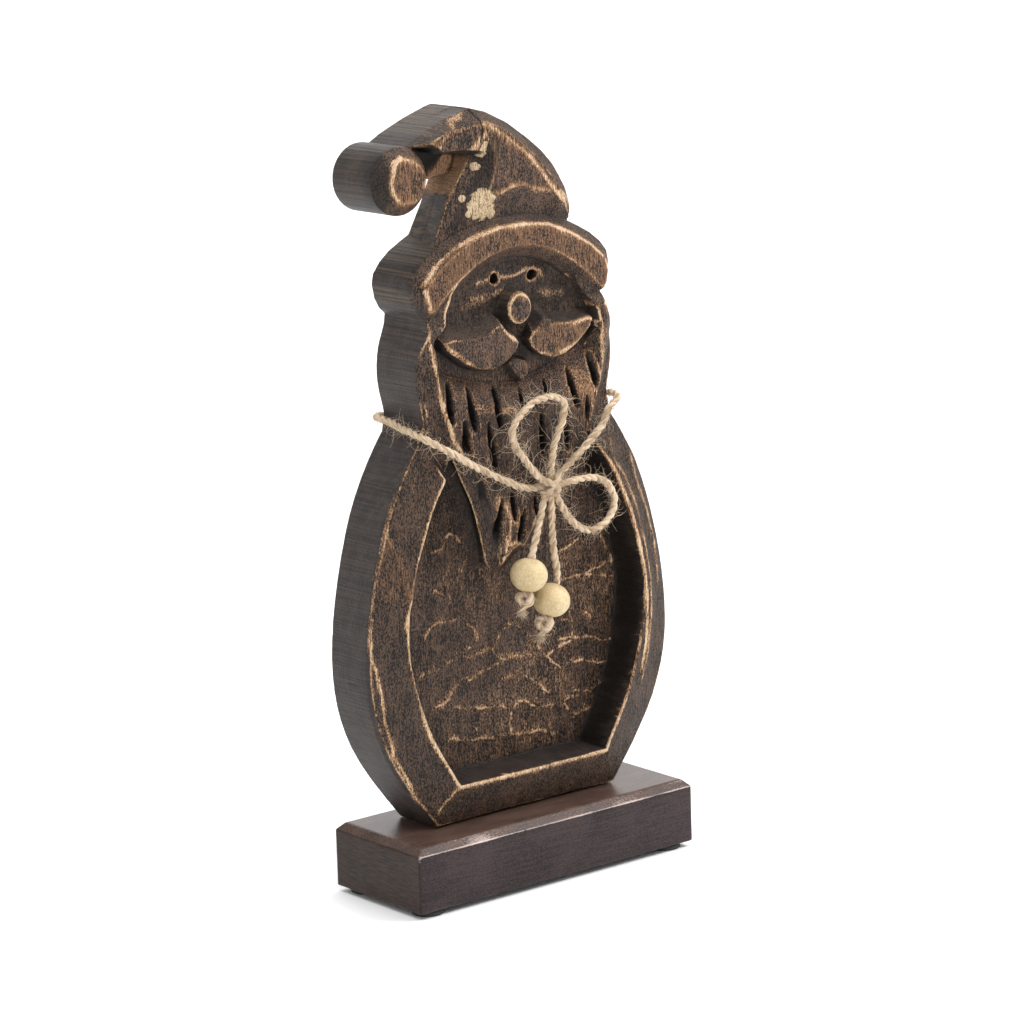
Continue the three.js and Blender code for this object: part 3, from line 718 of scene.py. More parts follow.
def turned_bead(name, tail, seed, material):
    """A turned bead bored along its tail, its surface a little uneven."""
    steps, sides = ((28, 56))
    limit = math.acos(BEAD_BORE / BEAD_WIDTH)
    angle = np.linspace(-limit, limit, steps)
    radius = BEAD_WIDTH / 2 * np.cos(angle)
    height = BEAD_HEIGHT / 2 * np.sin(angle)
    bore_height = np.linspace(height[-1], height[0], 8)[1:-1]
    radius = np.append(radius, np.full(len(bore_height), BEAD_BORE / 2))
    height = np.append(height, bore_height)
    turn = np.arange(sides) / sides * 2 * math.pi
    x = radius[:, None] * np.cos(turn)
    y = radius[:, None] * np.sin(turn)
    points = np.stack([x, y, np.repeat(height[:, None], sides, 1)], -1).reshape(-1, 3)
    outer = np.repeat(np.arange(len(radius)) < steps, sides)
    uneven = noise(points + seed, 6.0, seed, 2) * 0.16 + noise(points + seed, 1.6, seed + 1, 1) * 0.05
    points = points * (1 + (uneven * outer / (BEAD_WIDTH / 2)))[:, None]
    quads = band_faces(len(radius), sides, closed=True)
    lean = Vector(tail["lean"]).normalized()
    turn_matrix = np.array(Vector((0, 0, 1)).rotation_difference(lean).to_matrix())
    points = points @ turn_matrix.T + np.array(tail["middle"])
    return mesh_object(name, points, [quads], material)


# The carved figure

FIGURE_VOXEL = 0.5
FIGURE_FACES = 197000
PLAIN_FACES = 30000

# How far a millimetre of depth moves a place measured in the photograph
SEEN_ASIDE = 0.8
SEEN_BELOW = 0.28

GOUGE_DEPTH = 4.6
GOUGE_WIDTH = 3.9
GOUGES = [
    [(-39.6, 222), (-37.3, 202.5)], [(-29.6, 218), (-25.2, 198)], [(-15.6, 216.5), (-11.1, 196.5)],
    [(-1.6, 213), (1, 203)], [(11.5, 215.5), (15.2, 205.5)], [(24.4, 218.5), (29.8, 200.5)],
    [(36.1, 224), (41.5, 205)], [(-31.5, 204), (-28.8, 186)], [(-18.9, 201.5), (-15, 179)],
    [(10.1, 202), (10.5, 182.5)], [(23.1, 199), (23.6, 183)], [(34.7, 205), (36, 189.5)],
    [(-24.2, 180.5), (-20.6, 164)], [(-7.6, 171.5), (-5.5, 157)], [(-12.0, 168.5), (-18, 143)],
    [(-0.4, 162), (-4.1, 147)], [(5.2, 166.5), (6.5, 157.5)],
]
BEARD_OUTLINE = [
    (-47.6, 243), (-47.4, 236), (-46, 228), (-43.2, 218.5), (-40.6, 208.5), (-36.6, 198), (-31.6, 189),
    (-27.2, 179), (-22.4, 168.6), (-19.4, 158), (-16.8, 147), (-14.6, 139.6), (-8.6, 144.6), (-1.4, 148.4),
    (6, 156), (14, 164), (22.4, 170), (29.5, 179), (34, 190), (38.2, 200), (42, 210), (44.6, 220),
    (46.4, 230), (46.6, 243),
]
FACE_RECESS = [
    (28, 272), (-29, 272), (-32, 260), (-34, 253), (-39, 244), (-45.8, 237.2), (-44.6, 230.4), (-41, 225.6),
    (-35, 221.4), (-20.4, 216.8), (-9.8, 215.2), (2, 213.8), (14.6, 217.2), (28.3, 220.6), (39, 225),
    (43.6, 232.6), (42.8, 240), (39.8, 245.4), (35, 252), (30.5, 260),
]
BEARD_LEFT_SIDE = BEARD_OUTLINE[:12]
BEARD_LEFT_EDGE = BEARD_OUTLINE[5:11]
BEARD_SHOULDER = [(-26, 209), (-15, 205), (-2, 203.5)]
MOUTH_EDGE = FACE_RECESS[6:16]
OUTLINE_MARGIN = 0.9
DEPTH_SOFT = 0.8
FACE_BOTTOM = 236
FACE_TOP = 272
PANEL_TOP = 192
RIM_TOP = 205
MOUTH_SINK = 7.6
MOUTH_REACH = 13

PANEL_RIDGES = [
    [(-46.6, 94), (-40, 94.4), (-34.7, 96), (-28, 97.8), (-21, 101), (-14, 104.8), (-16, 109.5), (-20, 112)],
    [(-42, 107), (-42, 111), (-39.3, 114), (-34, 115), (-27.5, 115), (-23, 115.6)],
    [
        (-36, 146), (-31.4, 147.3), (-29, 151), (-27.4, 152.7), (-23.7, 151), (-20.8, 145), (-20, 140),
        (-22.3, 135),
    ],
    [(-19, 87.3), (-13.5, 89.3), (-8, 90.5), (-2.4, 92)],
    [(-39.8, 79), (-34.4, 79.3), (-30, 81.6), (-26, 87), (-20, 88.8)],
    [(-32.8, 78.6), (-25, 76), (-14, 74), (-6, 73.4), (-0.5, 72.3), (2.7, 70.3), (2, 66.5), (2.3, 59.8)],
    [(2.7, 70.3), (5.6, 72.4), (10, 72.5), (14.3, 69.8), (18.7, 68.5), (25.4, 68), (31.6, 68.3), (40, 69.3)],
    [(31.6, 68.3), (34.3, 64.6), (37.6, 61.3), (41, 61.5), (46.7, 63)],
    [
        (-30.8, 63.7), (-22.8, 61.7), (-16.8, 61.4), (-9.3, 59), (-1, 59.5), (7, 58.8), (18, 57.5),
        (26.6, 54.5),
    ],
    [(-16.8, 61.4), (-16, 65.6)],
    [(-21, 97.8), (-14, 98.3), (-6.5, 99), (-3.9, 96), (-0.7, 93.5), (6, 93.6), (14, 92), (22.4, 89.7)],
    [(-6.5, 99), (-4.7, 102), (-1.8, 106), (2.6, 108), (8, 106), (12.3, 102.6), (16, 98), (22.4, 89.7)],
    [(22.4, 89.7), (26.4, 92), (31, 93.4), (36.6, 94.6)],
    [
        (22.4, 89.7), (26.2, 86.7), (30.5, 84), (36.2, 85.3), (44.6, 84.2), (53, 82), (57.7, 81.7),
        (61.9, 87.7),
    ],
    [(31, 95.6), (35.5, 96.6), (41, 94.7), (49, 93.7), (53.4, 91.5), (62, 90.8), (66, 92.3)],
    [(-1.6, 84.5), (2.8, 85.4), (7.2, 86), (12, 83.2), (16.4, 80), (20.7, 76.2), (24.6, 74)],
    [(31.3, 104.5), (37, 102.6), (38.3, 96)],
    [(29.7, 134.4), (33.6, 135.5), (38, 136.5), (43.8, 137.3), (48.2, 135.3)],
    [(33.7, 123), (40.4, 122.8), (46, 122.3), (50, 123.4), (54.6, 124), (57.5, 125.7)],
    [(55, 138), (58.3, 131.8), (61, 126)],
    [(43.2, 122.4), (54.4, 120), (61.3, 119.7)],
    [(-37, 128.7), (-31.7, 127)],
    [(38.5, 72), (47, 70.2), (52.8, 73.6)],
    [(45.4, 105.5), (49.3, 102)],
]
PANEL_SPECKLE = [
    ((-12, 127), 17), ((48, 110), 20), ((-30, 130), 10), ((40, 128), 14), ((5, 66), 26), ((20, 84), 22),
]

NOSE = (0, 246.4)
NOSE_RADIUS = 5.6
EYES = [(-7.6, 259.4), (12.6, 258.6)]
EYE_LINE = [
    (-16.9, 258.6), (-12, 259.2), (-8.3, 260), (1.3, 259.3), (5.6, 260), (9, 261.7), (16.4, 260),
    (18, 257.2),
]
BROW_LINES = [
    [(-20.3, 252), (-15, 252), (-9.7, 253), (-4.3, 254)],
    [(16, 250.7), (22.5, 249.4), (26.8, 249.3)],
]
LEFT_LOBE = [(-41, 237), (-16, 237), (-8, 241), (-1, 232), (-12, 223), (-30, 227)]
RIGHT_LOBE = [(8, 238), (40, 240), (36, 229), (22, 224), (8, 228)]
HAIR_EDGES = [
    [(-32.8, 260.5), (-34.2, 254), (-37, 248.2), (-39.3, 243.1)],
    [(30, 256.6), (33, 252), (37.8, 245.8), (40.5, 242.5)],
]
CHEEK_LINE = [(-23.7, 249.5), (-18.4, 250.5), (-12, 251.8)]

RIM_FACETS = [
    [(-81.3, 114.5), (-78.7, 105.5), (-77, 96.7), (-74.7, 81.3), (-70.5, 66.4), (-63.2, 53.3), (-57.5, 40.4)],
    [(-70.1, 161.5), (-66, 150.3), (-63.9, 141.5), (-61.7, 132.6)],
    [
        (48.3, 183.5), (48.3, 176), (55.3, 167), (61.6, 153), (65.7, 137), (68, 121), (68.6, 105),
        (66.4, 88), (62.5, 75),
    ],
    [(61.7, 174.5), (64, 163), (69.9, 149), (73.5, 135), (74.6, 117)],
    [(-39, 49.5), (-43.5, 46), (-47.4, 41.6), (-49.7, 37.7)],
]
RIM_SPLITS = [
    [(-61.2, 131.3), (-60.4, 126), (-59.7, 119.5), (-59.5, 113)],
    [(-57.9, 89), (-56.2, 82.4), (-53.8, 75.5)],
]
RIM_RUB = [(-66, 162), (-63.5, 150), (-62.5, 141), (-60, 131), (-75.5, 131), (-75, 147)]

POM_RIGHT = -42
POM_BOTTOM = 288
POM_CUT = (-64, 304.5)
POM_FLECK = (-46.5, 303.5)
POM_ARC = [(-58.5, 315.3), (-61.8, 313.6), (-62.9, 309.4), (-64.3, 305.5), (-63.5, 301.4), (-61.2, 298.4)]
POM_RING = [
    (-58.5, 315.3), (-53.7, 313.6), (-49.3, 310.7), (-46.4, 306.3), (-46, 302), (-48.3, 299),
    (-52.5, 296.8), (-61, 297),
]
NOTCH = [(-46, 321), (-33, 319.5), (-28, 313), (-28.5, 307), (-35, 304.5), (-43, 306)]
WEB_EDGE = [(-31.9, 305.6), (-26.8, 310.4)]
ARM_LINE = [(-38.5, 317.5), (-36.5, 320.4), (-32.7, 323), (-27, 323.5), (-21.8, 324.2)]
RASPED_FROM = 296.5
CROWN_CREASES = [
    [(-9.8, 316.7), (-9, 311.3), (-9.7, 305.2), (-11.5, 300), (-13.3, 296)],
    [(-13.3, 296), (-6.4, 295.7), (-2, 297.7), (4.3, 298), (11, 295.4), (19, 293.7)],
    [
        (-15.7, 325), (-10.6, 323), (-5.5, 319.6), (2.3, 314.3), (8.5, 309.5), (13.6, 304), (18.7, 297),
        (25.5, 289.7),
    ],
    [(21.3, 293.5), (29, 291), (33.5, 284)],
]
DARK_WALL = [(-14, 318), (-7, 318), (-10, 294), (-14.3, 289), (-34, 281), (-26.3, 292), (-18, 303.6)]
ARM_PATCHES = [
    [(-30.6, 325.5), (-28.9, 327.8), (-25.3, 328.2), (-23, 330.5)],
    [(-22.7, 314.6), (-18.9, 316.6), (-17.3, 319), (-15, 320.4)],
]
CRACK = [(-19.2, 331), (-16.2, 325.6), (-16.5, 320.3), (-17.1, 317.5)]
FILLER = [
    ((-16.2, 291.4), 6.2), ((-24.6, 294.8), 1.6), ((-14.8, 315), 2.6), ((-14.6, 312.6), 1.9),
    ((-17.2, 307.4), 1.9), ((-10.6, 287.2), 2.2), ((-22.4, 288.2), 1.5),
]

BEARD_WEAR = [
    [
        (-47.5, 237.4), (-45.8, 228.8), (-43.6, 220.2), (-42.4, 211.7), (-39, 202.8), (-36.8, 196),
        (-33, 190.5), (-30, 184.6),
    ],
    [(-13.2, 140.3), (-11.3, 146.5), (-7, 148), (-0.5, 145.5), (2.4, 150.7), (4.8, 156.8)],
    [(-11.7, 151), (-10.2, 146.6), (-8.7, 157), (-10.6, 164), (-14.7, 167.5)],
]
BEARD_PATCHES = [((31, 211), 6), ((36, 207), 5), ((-11, 147), 4), ((-14, 166), 3.5)]


class Surface:
    """A solid's skin as an even, dense mesh, with the masks that its material reads."""

    def __init__(self, node, voxel):
        """Starts from a voxel copy, its vertices back on the solid's own faces."""
        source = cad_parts[node].data.copy()
        self.mesh = applied(source, "REMESH", mode="VOXEL", voxel_size=voxel * MM)
        faces = [tuple(p.vertices) for p in source.polygons]
        tree = BVHTree.FromPolygons([v.co for v in source.vertices], faces)
        points = read(self.mesh.vertices, "co", 3).astype(float) / MM
        self.points = np.array([tree.find_nearest(Vector(p))[0][:] for p in points * MM]) / MM
        self.edges = read(self.mesh.edges, "vertices", 2, np.int32)
        self.masks = {}
        self.refresh()

    def refresh(self):
        self.mesh.vertices.foreach_set("co", (self.points * MM).astype(np.float32).ravel())
        self.mesh.update()
        self.normals = read(self.mesh.vertices, "normal", 3).astype(float)
        self.nx, self.ny, self.nz = self.normals.T
        self.x, self.y, self.z = self.points.T
        self.front = ramp(0.25, 0.6, -self.ny)

    def painted(self):
        paint(self.mesh, **self.masks)
        return self.mesh

    def relax(self, rounds):
        self.points = relaxed(self.points, self.edges, rounds)
        self.refresh()

    def ease(self, rounds, share):
        """Smooths the skin by a share for each point. x, y and z stay until the next refresh."""
        smoothed = relaxed(self.points, self.edges, rounds)
        self.points = self.points + (smoothed - self.points) * share[:, None]

    def push(self, amount):
        """Moves the skin outwards by an amount for each point."""
        self.points = self.points + self.normals * np.asarray(amount)[:, None]
        self.refresh()

    def carve(self, where, y):
        """Puts the skin at the depth y where asked."""
        self.points[:, 1] = np.where(where, y, self.y)
        self.refresh()

    def between(self, low, high):
        """1 where y lies between low and high."""
        over = ramp(low - DEPTH_SOFT, low + DEPTH_SOFT, self.y)
        return over * ramp(high + DEPTH_SOFT, high - DEPTH_SOFT, self.y)

    def away(self, line):
        """How far each point is from a polyline, seen from the front."""
        return distance_to_line(self.x, self.z, line)

    def line(self, line, width):
        """1 on the polyline, falling smoothly to 0 at width from it."""
        return 1 - ramp(0.15 * width, width, self.away(line))

    def tent(self, line, width):
        """A crease: 1 on the line, falling evenly to 0 at width."""
        return np.clip(1 - self.away(line) / width, 0, 1)

    def spot(self, centre, radius):
        reach = np.hypot(self.x - centre[0], self.z - centre[1])
        return 1 - ramp(0.6 * radius, radius, reach)

    def inside(self, outline, shift=0):
        """Whether each point lies inside a closed outline, seen from the front."""
        x, z = self.x + shift, self.z + shift
        odd = np.zeros(len(x), bool)
        for (ax, az), (bx, bz) in zip(outline, outline[1:] + outline[:1]):
            if az != bz:
                crosses = (az > z) != (bz > z)
                odd ^= crosses & (x < ax + (z - az) * (bx - ax) / (bz - az))
        return odd

    def area(self, outline, soft, seed):
        """1 inside an outline whose border wanders a little."""
        return self.inside(outline, soft * noise(self.points, 4 * soft, seed)).astype(float)

    def mark(self, name, amount):
        """Raises a mask to amount wherever it is lower."""
        self.masks[name] = np.maximum(self.masks.get(name, 0), amount)

    def draw(self, lines, width, gain, where, even=1, uneven=0):
        """Wear along lines that share a width and a gain, or have one each."""
        count = len(lines)
        share = even + uneven * self.uneven
        for line, wide, much in zip(lines, np.broadcast_to(width, count), np.broadcast_to(gain, count)):
            self.mark("wear", much * where * self.line(line, wide) * share)

    def unworn(self):
        return 1 - ramp(0.2, 0.6, self.masks["wear"])


def round_beard(s):
    """Slopes the beard's top back to the mouth and fills its slots, so that they can be cut anew."""
    rim = s.away(FACE_RECESS + FACE_RECESS[:1])
    below = ~(s.inside(FACE_RECESS) & (rim > OUTLINE_MARGIN)) & (s.z < FACE_BOTTOM) & (s.y < -4)
    reach = s.tent(MOUTH_EDGE, MOUTH_REACH)
    s.sink = MOUTH_SINK * reach**1.6 * ramp(45, 38, np.abs(s.x))
    s.on_beard = below & s.inside(BEARD_OUTLINE)
    s.on_beard &= s.away(BEARD_OUTLINE + BEARD_OUTLINE[:1]) > OUTLINE_MARGIN
    locks = 0.35 * noise(s.points, (3.4, 9, 16), 61, 2)
    sloped = FRONT + s.sink
    s.carve(below, np.where(s.on_beard, sloped + locks, np.maximum(s.y, sloped)))


def cut_gouges(s):
    """Slots between the beard's locks, pointed at both ends."""
    depth = np.zeros(len(s.points))
    x, z = s.x - SEEN_ASIDE * s.sink, s.z + SEEN_BELOW * s.sink
    for (ax, az), (bx, bz) in GOUGES:
        length = math.hypot(bx - ax, bz - az)
        t = ((x - ax) * (bx - ax) + (z - az) * (bz - az)) / length**2
        aside = np.abs((x - ax) * (bz - az) - (z - az) * (bx - ax)) / length
        t = np.clip(t, 0, 1)
        width = GOUGE_WIDTH * min(1, 0.35 + length / 38)
        half = width / 2 * t**0.8 * (1 - t) ** 0.5 / 0.42 + 1e-6
        cut = np.clip(1.9 * (1 - aside / half), 0, 1) * (t > 0) * (t < 1)
        depth = np.maximum(depth, GOUGE_DEPTH * cut)
    depth *= s.on_beard
    s.gouge = depth / GOUGE_DEPTH
    s.carve(s.on_beard, s.y + depth)


def fill_beside_beard(s):
    """A hollow slope from the panel's floor up to the beard's left side."""
    fade = ramp(-6, -14, s.x) * ramp(134, 144, s.z) * ramp(198, 186, s.z)
    rise = 10 * s.tent(BEARD_LEFT_SIDE, 10) ** 1.8 * fade
    low = (s.y > -9) & (s.y < 4) & ~s.inside(BEARD_OUTLINE)
    s.carve(low, np.minimum(s.y, PANEL_FLOOR - rise))


def bevel_pom(s):
    """A broad knife cut down the left of the pom's face."""
    edge = POM_CUT[0] + 0.045 * (s.z - POM_CUT[1]) ** 2
    s.pom_cut = (s.x < edge) & (s.z > POM_BOTTOM) & (s.y < -6)
    s.carve(s.pom_cut, np.maximum(s.y, FRONT + 0.8 * (edge - s.x)))


def shape_face(s):
    """Brow and cheek ridges across the recessed face."""
    s.face = s.front * s.between(FACE_FLOOR - 1.5, FACE_FLOOR + 2.5)
    s.face *= (s.z > FACE_BOTTOM) * (s.z < FACE_TOP)
    lift = 0.9 * s.line(EYE_LINE, 4.5)
    for line in BROW_LINES:
        lift = np.maximum(lift, 1.7 * s.line(line, 5.5))
    s.push(s.face * (lift + 0.2 * noise(s.points, (8, 8, 3), 71, 2)))


def scoop_panel(s):
    """Shallow gouge scoops over the panel, with sharp ridges where they meet."""
    s.floor = s.front * ramp(3.6, 1.4, np.abs(s.y - PANEL_FLOOR)) * (s.z < PANEL_TOP)
    wander = s.points + 0.9 * np.stack([noise(s.points, 6, seed) for seed in (81, 82, 83)], 1)
    wander += 0.35 * np.stack([noise(s.points, 1.7, seed) for seed in (84, 86, 88)], 1)
    s.ridge = np.zeros(len(s.points))
    for line in PANEL_RIDGES:
        reach = distance_to_line(wander[:, 0], wander[:, 2], line)
        s.ridge = np.maximum(s.ridge, np.exp(-reach / 1.5))
    hollows = noise(s.points * (1, 0, 1), (11, 1, 8), 85, 2)
    s.push(s.floor * (0.75 * s.ridge + 0.3 * hollows - 0.2))


def facet_rim(s):
    """Knife facets and splits on the raised rim."""
    s.rim = s.front * s.between(AHEAD, -8) * (s.z < RIM_TOP)
    for line in RIM_FACETS:
        s.push(s.rim * 0.55 * s.tent(line, 4))
    for line in RIM_SPLITS:
        s.push(-s.rim * 0.9 * s.line(line, 1))


def facet_crown(s):
    """Lifts the creases between the crown's knife cuts."""
    lift = np.zeros(len(s.points))
    for line in CROWN_CREASES:
        lift = np.maximum(lift, s.tent(line, 6))
    s.push(0.6 * lift * s.front * s.between(AHEAD, -8) * (s.z > 282))


EDGE_GAINS = [
    ((-57, 305), 24, 0.25), ((0, 212), 22, 0.1), ((0, 266), 24, 0.5), ((-52, 222), 9, 0.2),
    ((43, 266), 8, 1.3), ((-39, 235), 6, 1.3), ((38, 237), 6, 1.2), ((-2, 233), 4, 1.4),
    ((8, 233), 5, 1.3), ((0, 186), 28, 0.4), ((0, 230), 24, 0.8), ((-34, 283), 8, 0.6),
    ((-44, 192), 7, 0.1), ((-33, 313), 10, 0.2), ((-25, 240.5), 9, 0.2), ((15, 238.5), 6, 0.2),
    ((41, 246), 5, 0.3),
]
LOBE_WEAR = [
    [(-41, 236.8), (-36, 233.2), (-31.5, 229.8), (-25.5, 225.6)],
    [(-8.3, 238.5), (-5, 235), (-0.4, 232.3), (-1.6, 228.8), (-6.1, 225.5)],
    [(28.5, 236.6), (36, 238), (40.3, 238.5), (40.7, 235.4), (36, 231.5), (28.8, 227.5), (21, 225.3)],
    [(5, 234.1), (4.4, 232.5), (8, 226.9), (15.6, 225)],
]
WORN_CRESTS = [
    [
        (-49, 262), (-41.3, 269.9), (-33.3, 275), (-22.7, 278.8), (-9.5, 281.4), (3.8, 281.5), (17.2, 280),
        (27.9, 275.4), (38.6, 269.4), (45.5, 263.5),
    ],
    [
        (-42.7, 179.6), (-45.7, 172.5), (-51.3, 163), (-54.8, 155), (-57.3, 147), (-59.2, 139),
        (-61.6, 133), (-65, 123), (-64, 114),
    ],
    [
        (-64, 114), (-62.8, 105.5), (-60.7, 96.5), (-59.5, 87.7), (-57.3, 78.7), (-54, 70.7), (-49, 62.8),
        (-44.6, 55.8), (-40.5, 48.5),
    ],
    [
        (39.4, 182.7), (46.4, 175), (51.7, 165.6), (58, 151.5), (62, 137.6), (64.5, 124), (65.7, 110),
        (65.2, 92.6), (62, 80),
    ],
    [(-40.2, 48), (-10, 47.8), (20, 47.9), (40, 48.1)],
]
AMBER_EDGE = [(-61, 186), (-65.6, 175), (-70.3, 163), (-74.4, 151), (-77, 139), (-79.5, 126.6), (-81, 114)]
BRIM_TIP = [(-48.4, 259.5), (-47.6, 256), (-46.4, 251.5)]


def wear_edges(s):
    """Rubs the stain off the front's convex edges, more in some places than others, and paints shade into the
    hollows.
    """
    stand = proud(s.points, s.normals, s.edges, 6)
    edge = ramp(0.022, 0.11, relaxed(stand, s.edges, 1))
    gain = ramp(-4, -9, s.y)
    brim_side = (np.hypot(s.x / 58, (s.z - 246) / 44) < 1) * (s.z > 243) * (s.y > -13.2)
    gain *= 1 - 0.85 * brim_side
    beside = ramp(0.01, 0.12, relaxed(s.gouge, s.edges, 10))
    gain *= 1 - (0.35 + 0.45 * ramp(190, 200, s.z)) * beside
    gain *= 1 - 0.85 * ramp(4, 1.5, s.away(BEARD_LEFT_EDGE))
    for (x, z), radius, factor in EDGE_GAINS:
        near = 1 - ramp(0.5 * radius, 1.3 * radius, np.hypot(s.x - x, s.z - z))
        gain *= 1 + (factor - 1) * near
    broad, fine = noise(s.points, 15, 91, 2), noise(s.points, 4, 92, 2)
    s.uneven = np.clip(0.7 + 0.34 * broad + 0.2 * fine, 0.1, 1)
    s.mark("wear", edge * gain * s.uneven)
    s.draw(WORN_CRESTS, (1.35, 1.7, 1.7, 1.7, 1.7), 1.15, s.front * s.between(AHEAD, -13.5), 0.45, 0.6)
    s.draw([BRIM_TIP], 1.7, 1, s.front * s.between(AHEAD, -9))
    s.draw([AMBER_EDGE], 2, 0.8, s.between(-13, -8.5), 0.5, 0.5)
    round_nose = np.abs(np.hypot(s.x - NOSE[0], (s.z - NOSE[1]) * 0.92) - NOSE_RADIUS)
    s.mark("wear", s.front * (s.y < -15) * (1 - ramp(0.2, 1, round_nose)) * (0.5 + 0.5 * s.uneven))
    s.draw(LOBE_WEAR, 1.5, (0.95, 0.95, 1.05, 0.75), s.front * (s.y < -13.5), 0.35, 0.65)
    # Painted shade: points that sit below the smoothed surface around them are darkened.
    s.mark("shade_and_grime", 0.8 * ramp(0.02, 0.16, -stand))


def wear_pom(s):
    pom = s.front * (s.x < POM_RIGHT) * (s.z > POM_BOTTOM - 3)
    s.draw([POM_ARC], 1.5, 1.1, pom, 0.4, 0.7)
    s.draw([POM_RING], 1.1, 0.75, pom, 0, 1)
    s.mark("wear", 0.8 * pom * s.spot(POM_FLECK, 2.6) * s.uneven)
    s.mark("shade_and_grime", 0.72 * s.pom_cut * ramp(-63.9, -65, s.x) * ramp(-5.5, -7.5, s.y))


def wear_notch(s):
    """The thin web behind the notch, bare to the right of a slanted edge, and painted shade: nearly black on
    the web's left part and in the notch, dark under the arm.
    """
    web = s.front * (s.y > -2) * (s.y < 6) * (s.x > -48) * (s.x < -14) * (s.z > 298) * (s.z < 322)
    (low_x, low_z), (high_x, high_z) = WEB_EDGE
    past = s.x > low_x + (s.z - low_z) * (high_x - low_x) / (high_z - low_z)
    s.mark("rasped", web * past)
    # Painted shade, with dark stain, on the web's left part.
    s.mark("shade_and_grime", 0.97 * web * ~past)
    # Painted shade: nearly black in the notch, and dark on the faces that look down under the arm.
    sunk = ramp(-13, -9, s.y) * (s.y < 8)
    s.mark("shade_and_grime", 0.95 * sunk * s.area(NOTCH, 0.4, 95) * (1 - web * past))
    overhang = (s.x > -44) * (s.x < -10) * (s.z > 303) * ramp(-0.2, -0.5, s.nz)
    s.mark("shade_and_grime", 0.8 * overhang * (s.y < 6))


def wear_crown(s):
    """The arm's and the crown's worn creases, the rasped wall under the curl, and painted shade on the deep
    wall and below the curl.
    """
    at_front = s.front * ramp(-7, -11, s.y)
    s.draw(ARM_PATCHES, 2.2, 0.9, at_front, 0.5, 0.6)
    s.draw([ARM_LINE], 1.4, 0.62, at_front, 0.4, 0.6)
    inner = (s.x > -46) * (s.x < -9) * (s.z < 318) * ramp(0.2, -0.2, s.nx)
    not_back = ramp(0.6, 0.3, s.ny)
    inner *= ramp(-0.75, -0.55, s.nz) * ramp(0.7, 0.3, s.front) * not_back
    inner *= ramp(-31, -29, s.x - 0.25 * (s.z - 304))
    s.mark("rasped", inner * (s.z > RASPED_FROM + 0.5 * noise(s.points, 1.5, 96)) * (s.y > -13.6))
    # Painted shade on the deep wall right of the rasped wall.
    s.mark("shade_and_grime", 0.62 * s.front * s.area(DARK_WALL, 0.8, 97) * (s.y < -6))
    # Painted shade on the sides below the curl that don't look up.
    under = (s.z > 268) * (s.z < RASPED_FROM) * (s.x < -20) * ramp(0.3, 0, s.nz)
    s.mark("shade_and_grime", 0.55 * under * (1 - s.front) * not_back)
    s.draw(CROWN_CREASES, (1.3, 1.5, 1.7, 1.5), (0.9, 0.7, 1.1, 0.9), at_front, 0.35, 0.65)
    s.mark("puttied", ramp(2, 0, s.y) * s.front * (s.z > 284))
    crack = s.line(CRACK, 0.9) * (s.y < -2)
    s.mark("shade_and_grime", crack)
    s.push(-0.6 * crack)


def wear_face(s):
    for eye in EYES:
        hole = (s.y < -1) * (s.y > FACE_FLOOR + 0.4)
        # Painted shade inside the eye holes.
        s.mark("shade_and_grime", s.spot(eye, 2.9) * hole)
        s.mark("wear", 0.65 * s.face * s.spot(eye, 4.2) * (1 - s.spot(eye, 2.6)))
    s.draw([EYE_LINE], 1.5, 0.66, s.face)
    s.draw(BROW_LINES, 3, 0.42, s.face)
    s.draw([CHEEK_LINE], 3.4, 0.34, s.face)
    s.draw(HAIR_EDGES, (1.8, 1.3), (1.08, 0.78), s.y < -9, 0.6, 0.4)
    # Painted shade over the recessed face floor, deeper around the nose and in the right corner under the
    # brim.
    floor = s.face * s.unworn()
    s.mark("shade_and_grime", 0.42 * floor)
    s.mark("shade_and_grime", 0.64 * floor * ramp(13, 7.5, np.hypot(s.x - NOSE[0], s.z - NOSE[1])))
    s.mark("shade_and_grime", 0.6 * floor * ramp(22, 28, s.x) * ramp(242, 246, s.z))
    # Painted shadow on the floor around and below the moustache lobes.
    lobes = np.minimum(*(s.away(lobe + lobe[:1]) for lobe in (LEFT_LOBE, RIGHT_LOBE)))
    sunk = (s.y > -12.5) * (s.y < -3) * ramp(239, 233, s.z) * (s.z > 205)
    s.mark("shade_and_grime", 0.8 * sunk * ramp(6.5, 1, lobes))


def wear_beard(s):
    on_beard = s.front * s.between(AHEAD, -6) * (s.z > 139) * (s.z < 240)
    s.draw(BEARD_WEAR, (1.5, 1.3, 1.3), 1.1, on_beard, 0.4, 0.6)
    for centre, radius in BEARD_PATCHES:
        s.mark("wear", 0.45 * on_beard * s.spot(centre, 1.3 * radius))
    s.draw([BEARD_SHOULDER], 2.8, 0.42, on_beard)
    # Painted shade in the slots.
    s.mark("shade_and_grime", ramp(0.02, 0.2, s.gouge))
    s.mark("shade_and_grime", 0.3 * on_beard * ramp(186, 174, s.z) * s.unworn())
    # Painted shade along the beard's left edge.
    side = ramp(2.8, 0.9, s.away(BEARD_LEFT_EDGE[1:])) * (s.y < -3) * (s.y > -17)
    s.mark("shade_and_grime", 0.72 * side)
    # Painted sheen: the beard's top, where it slopes back to the mouth, is lightened with the rubbed brown.
    s.mark("rub_and_sheen", 0.2 * on_beard * ramp(0.5, 3, s.sink))
    s.mark("rub_and_sheen", on_beard * (0.1 * ramp(212, 200, s.z) + 0.16 * s.spot((34, 205), 14)))


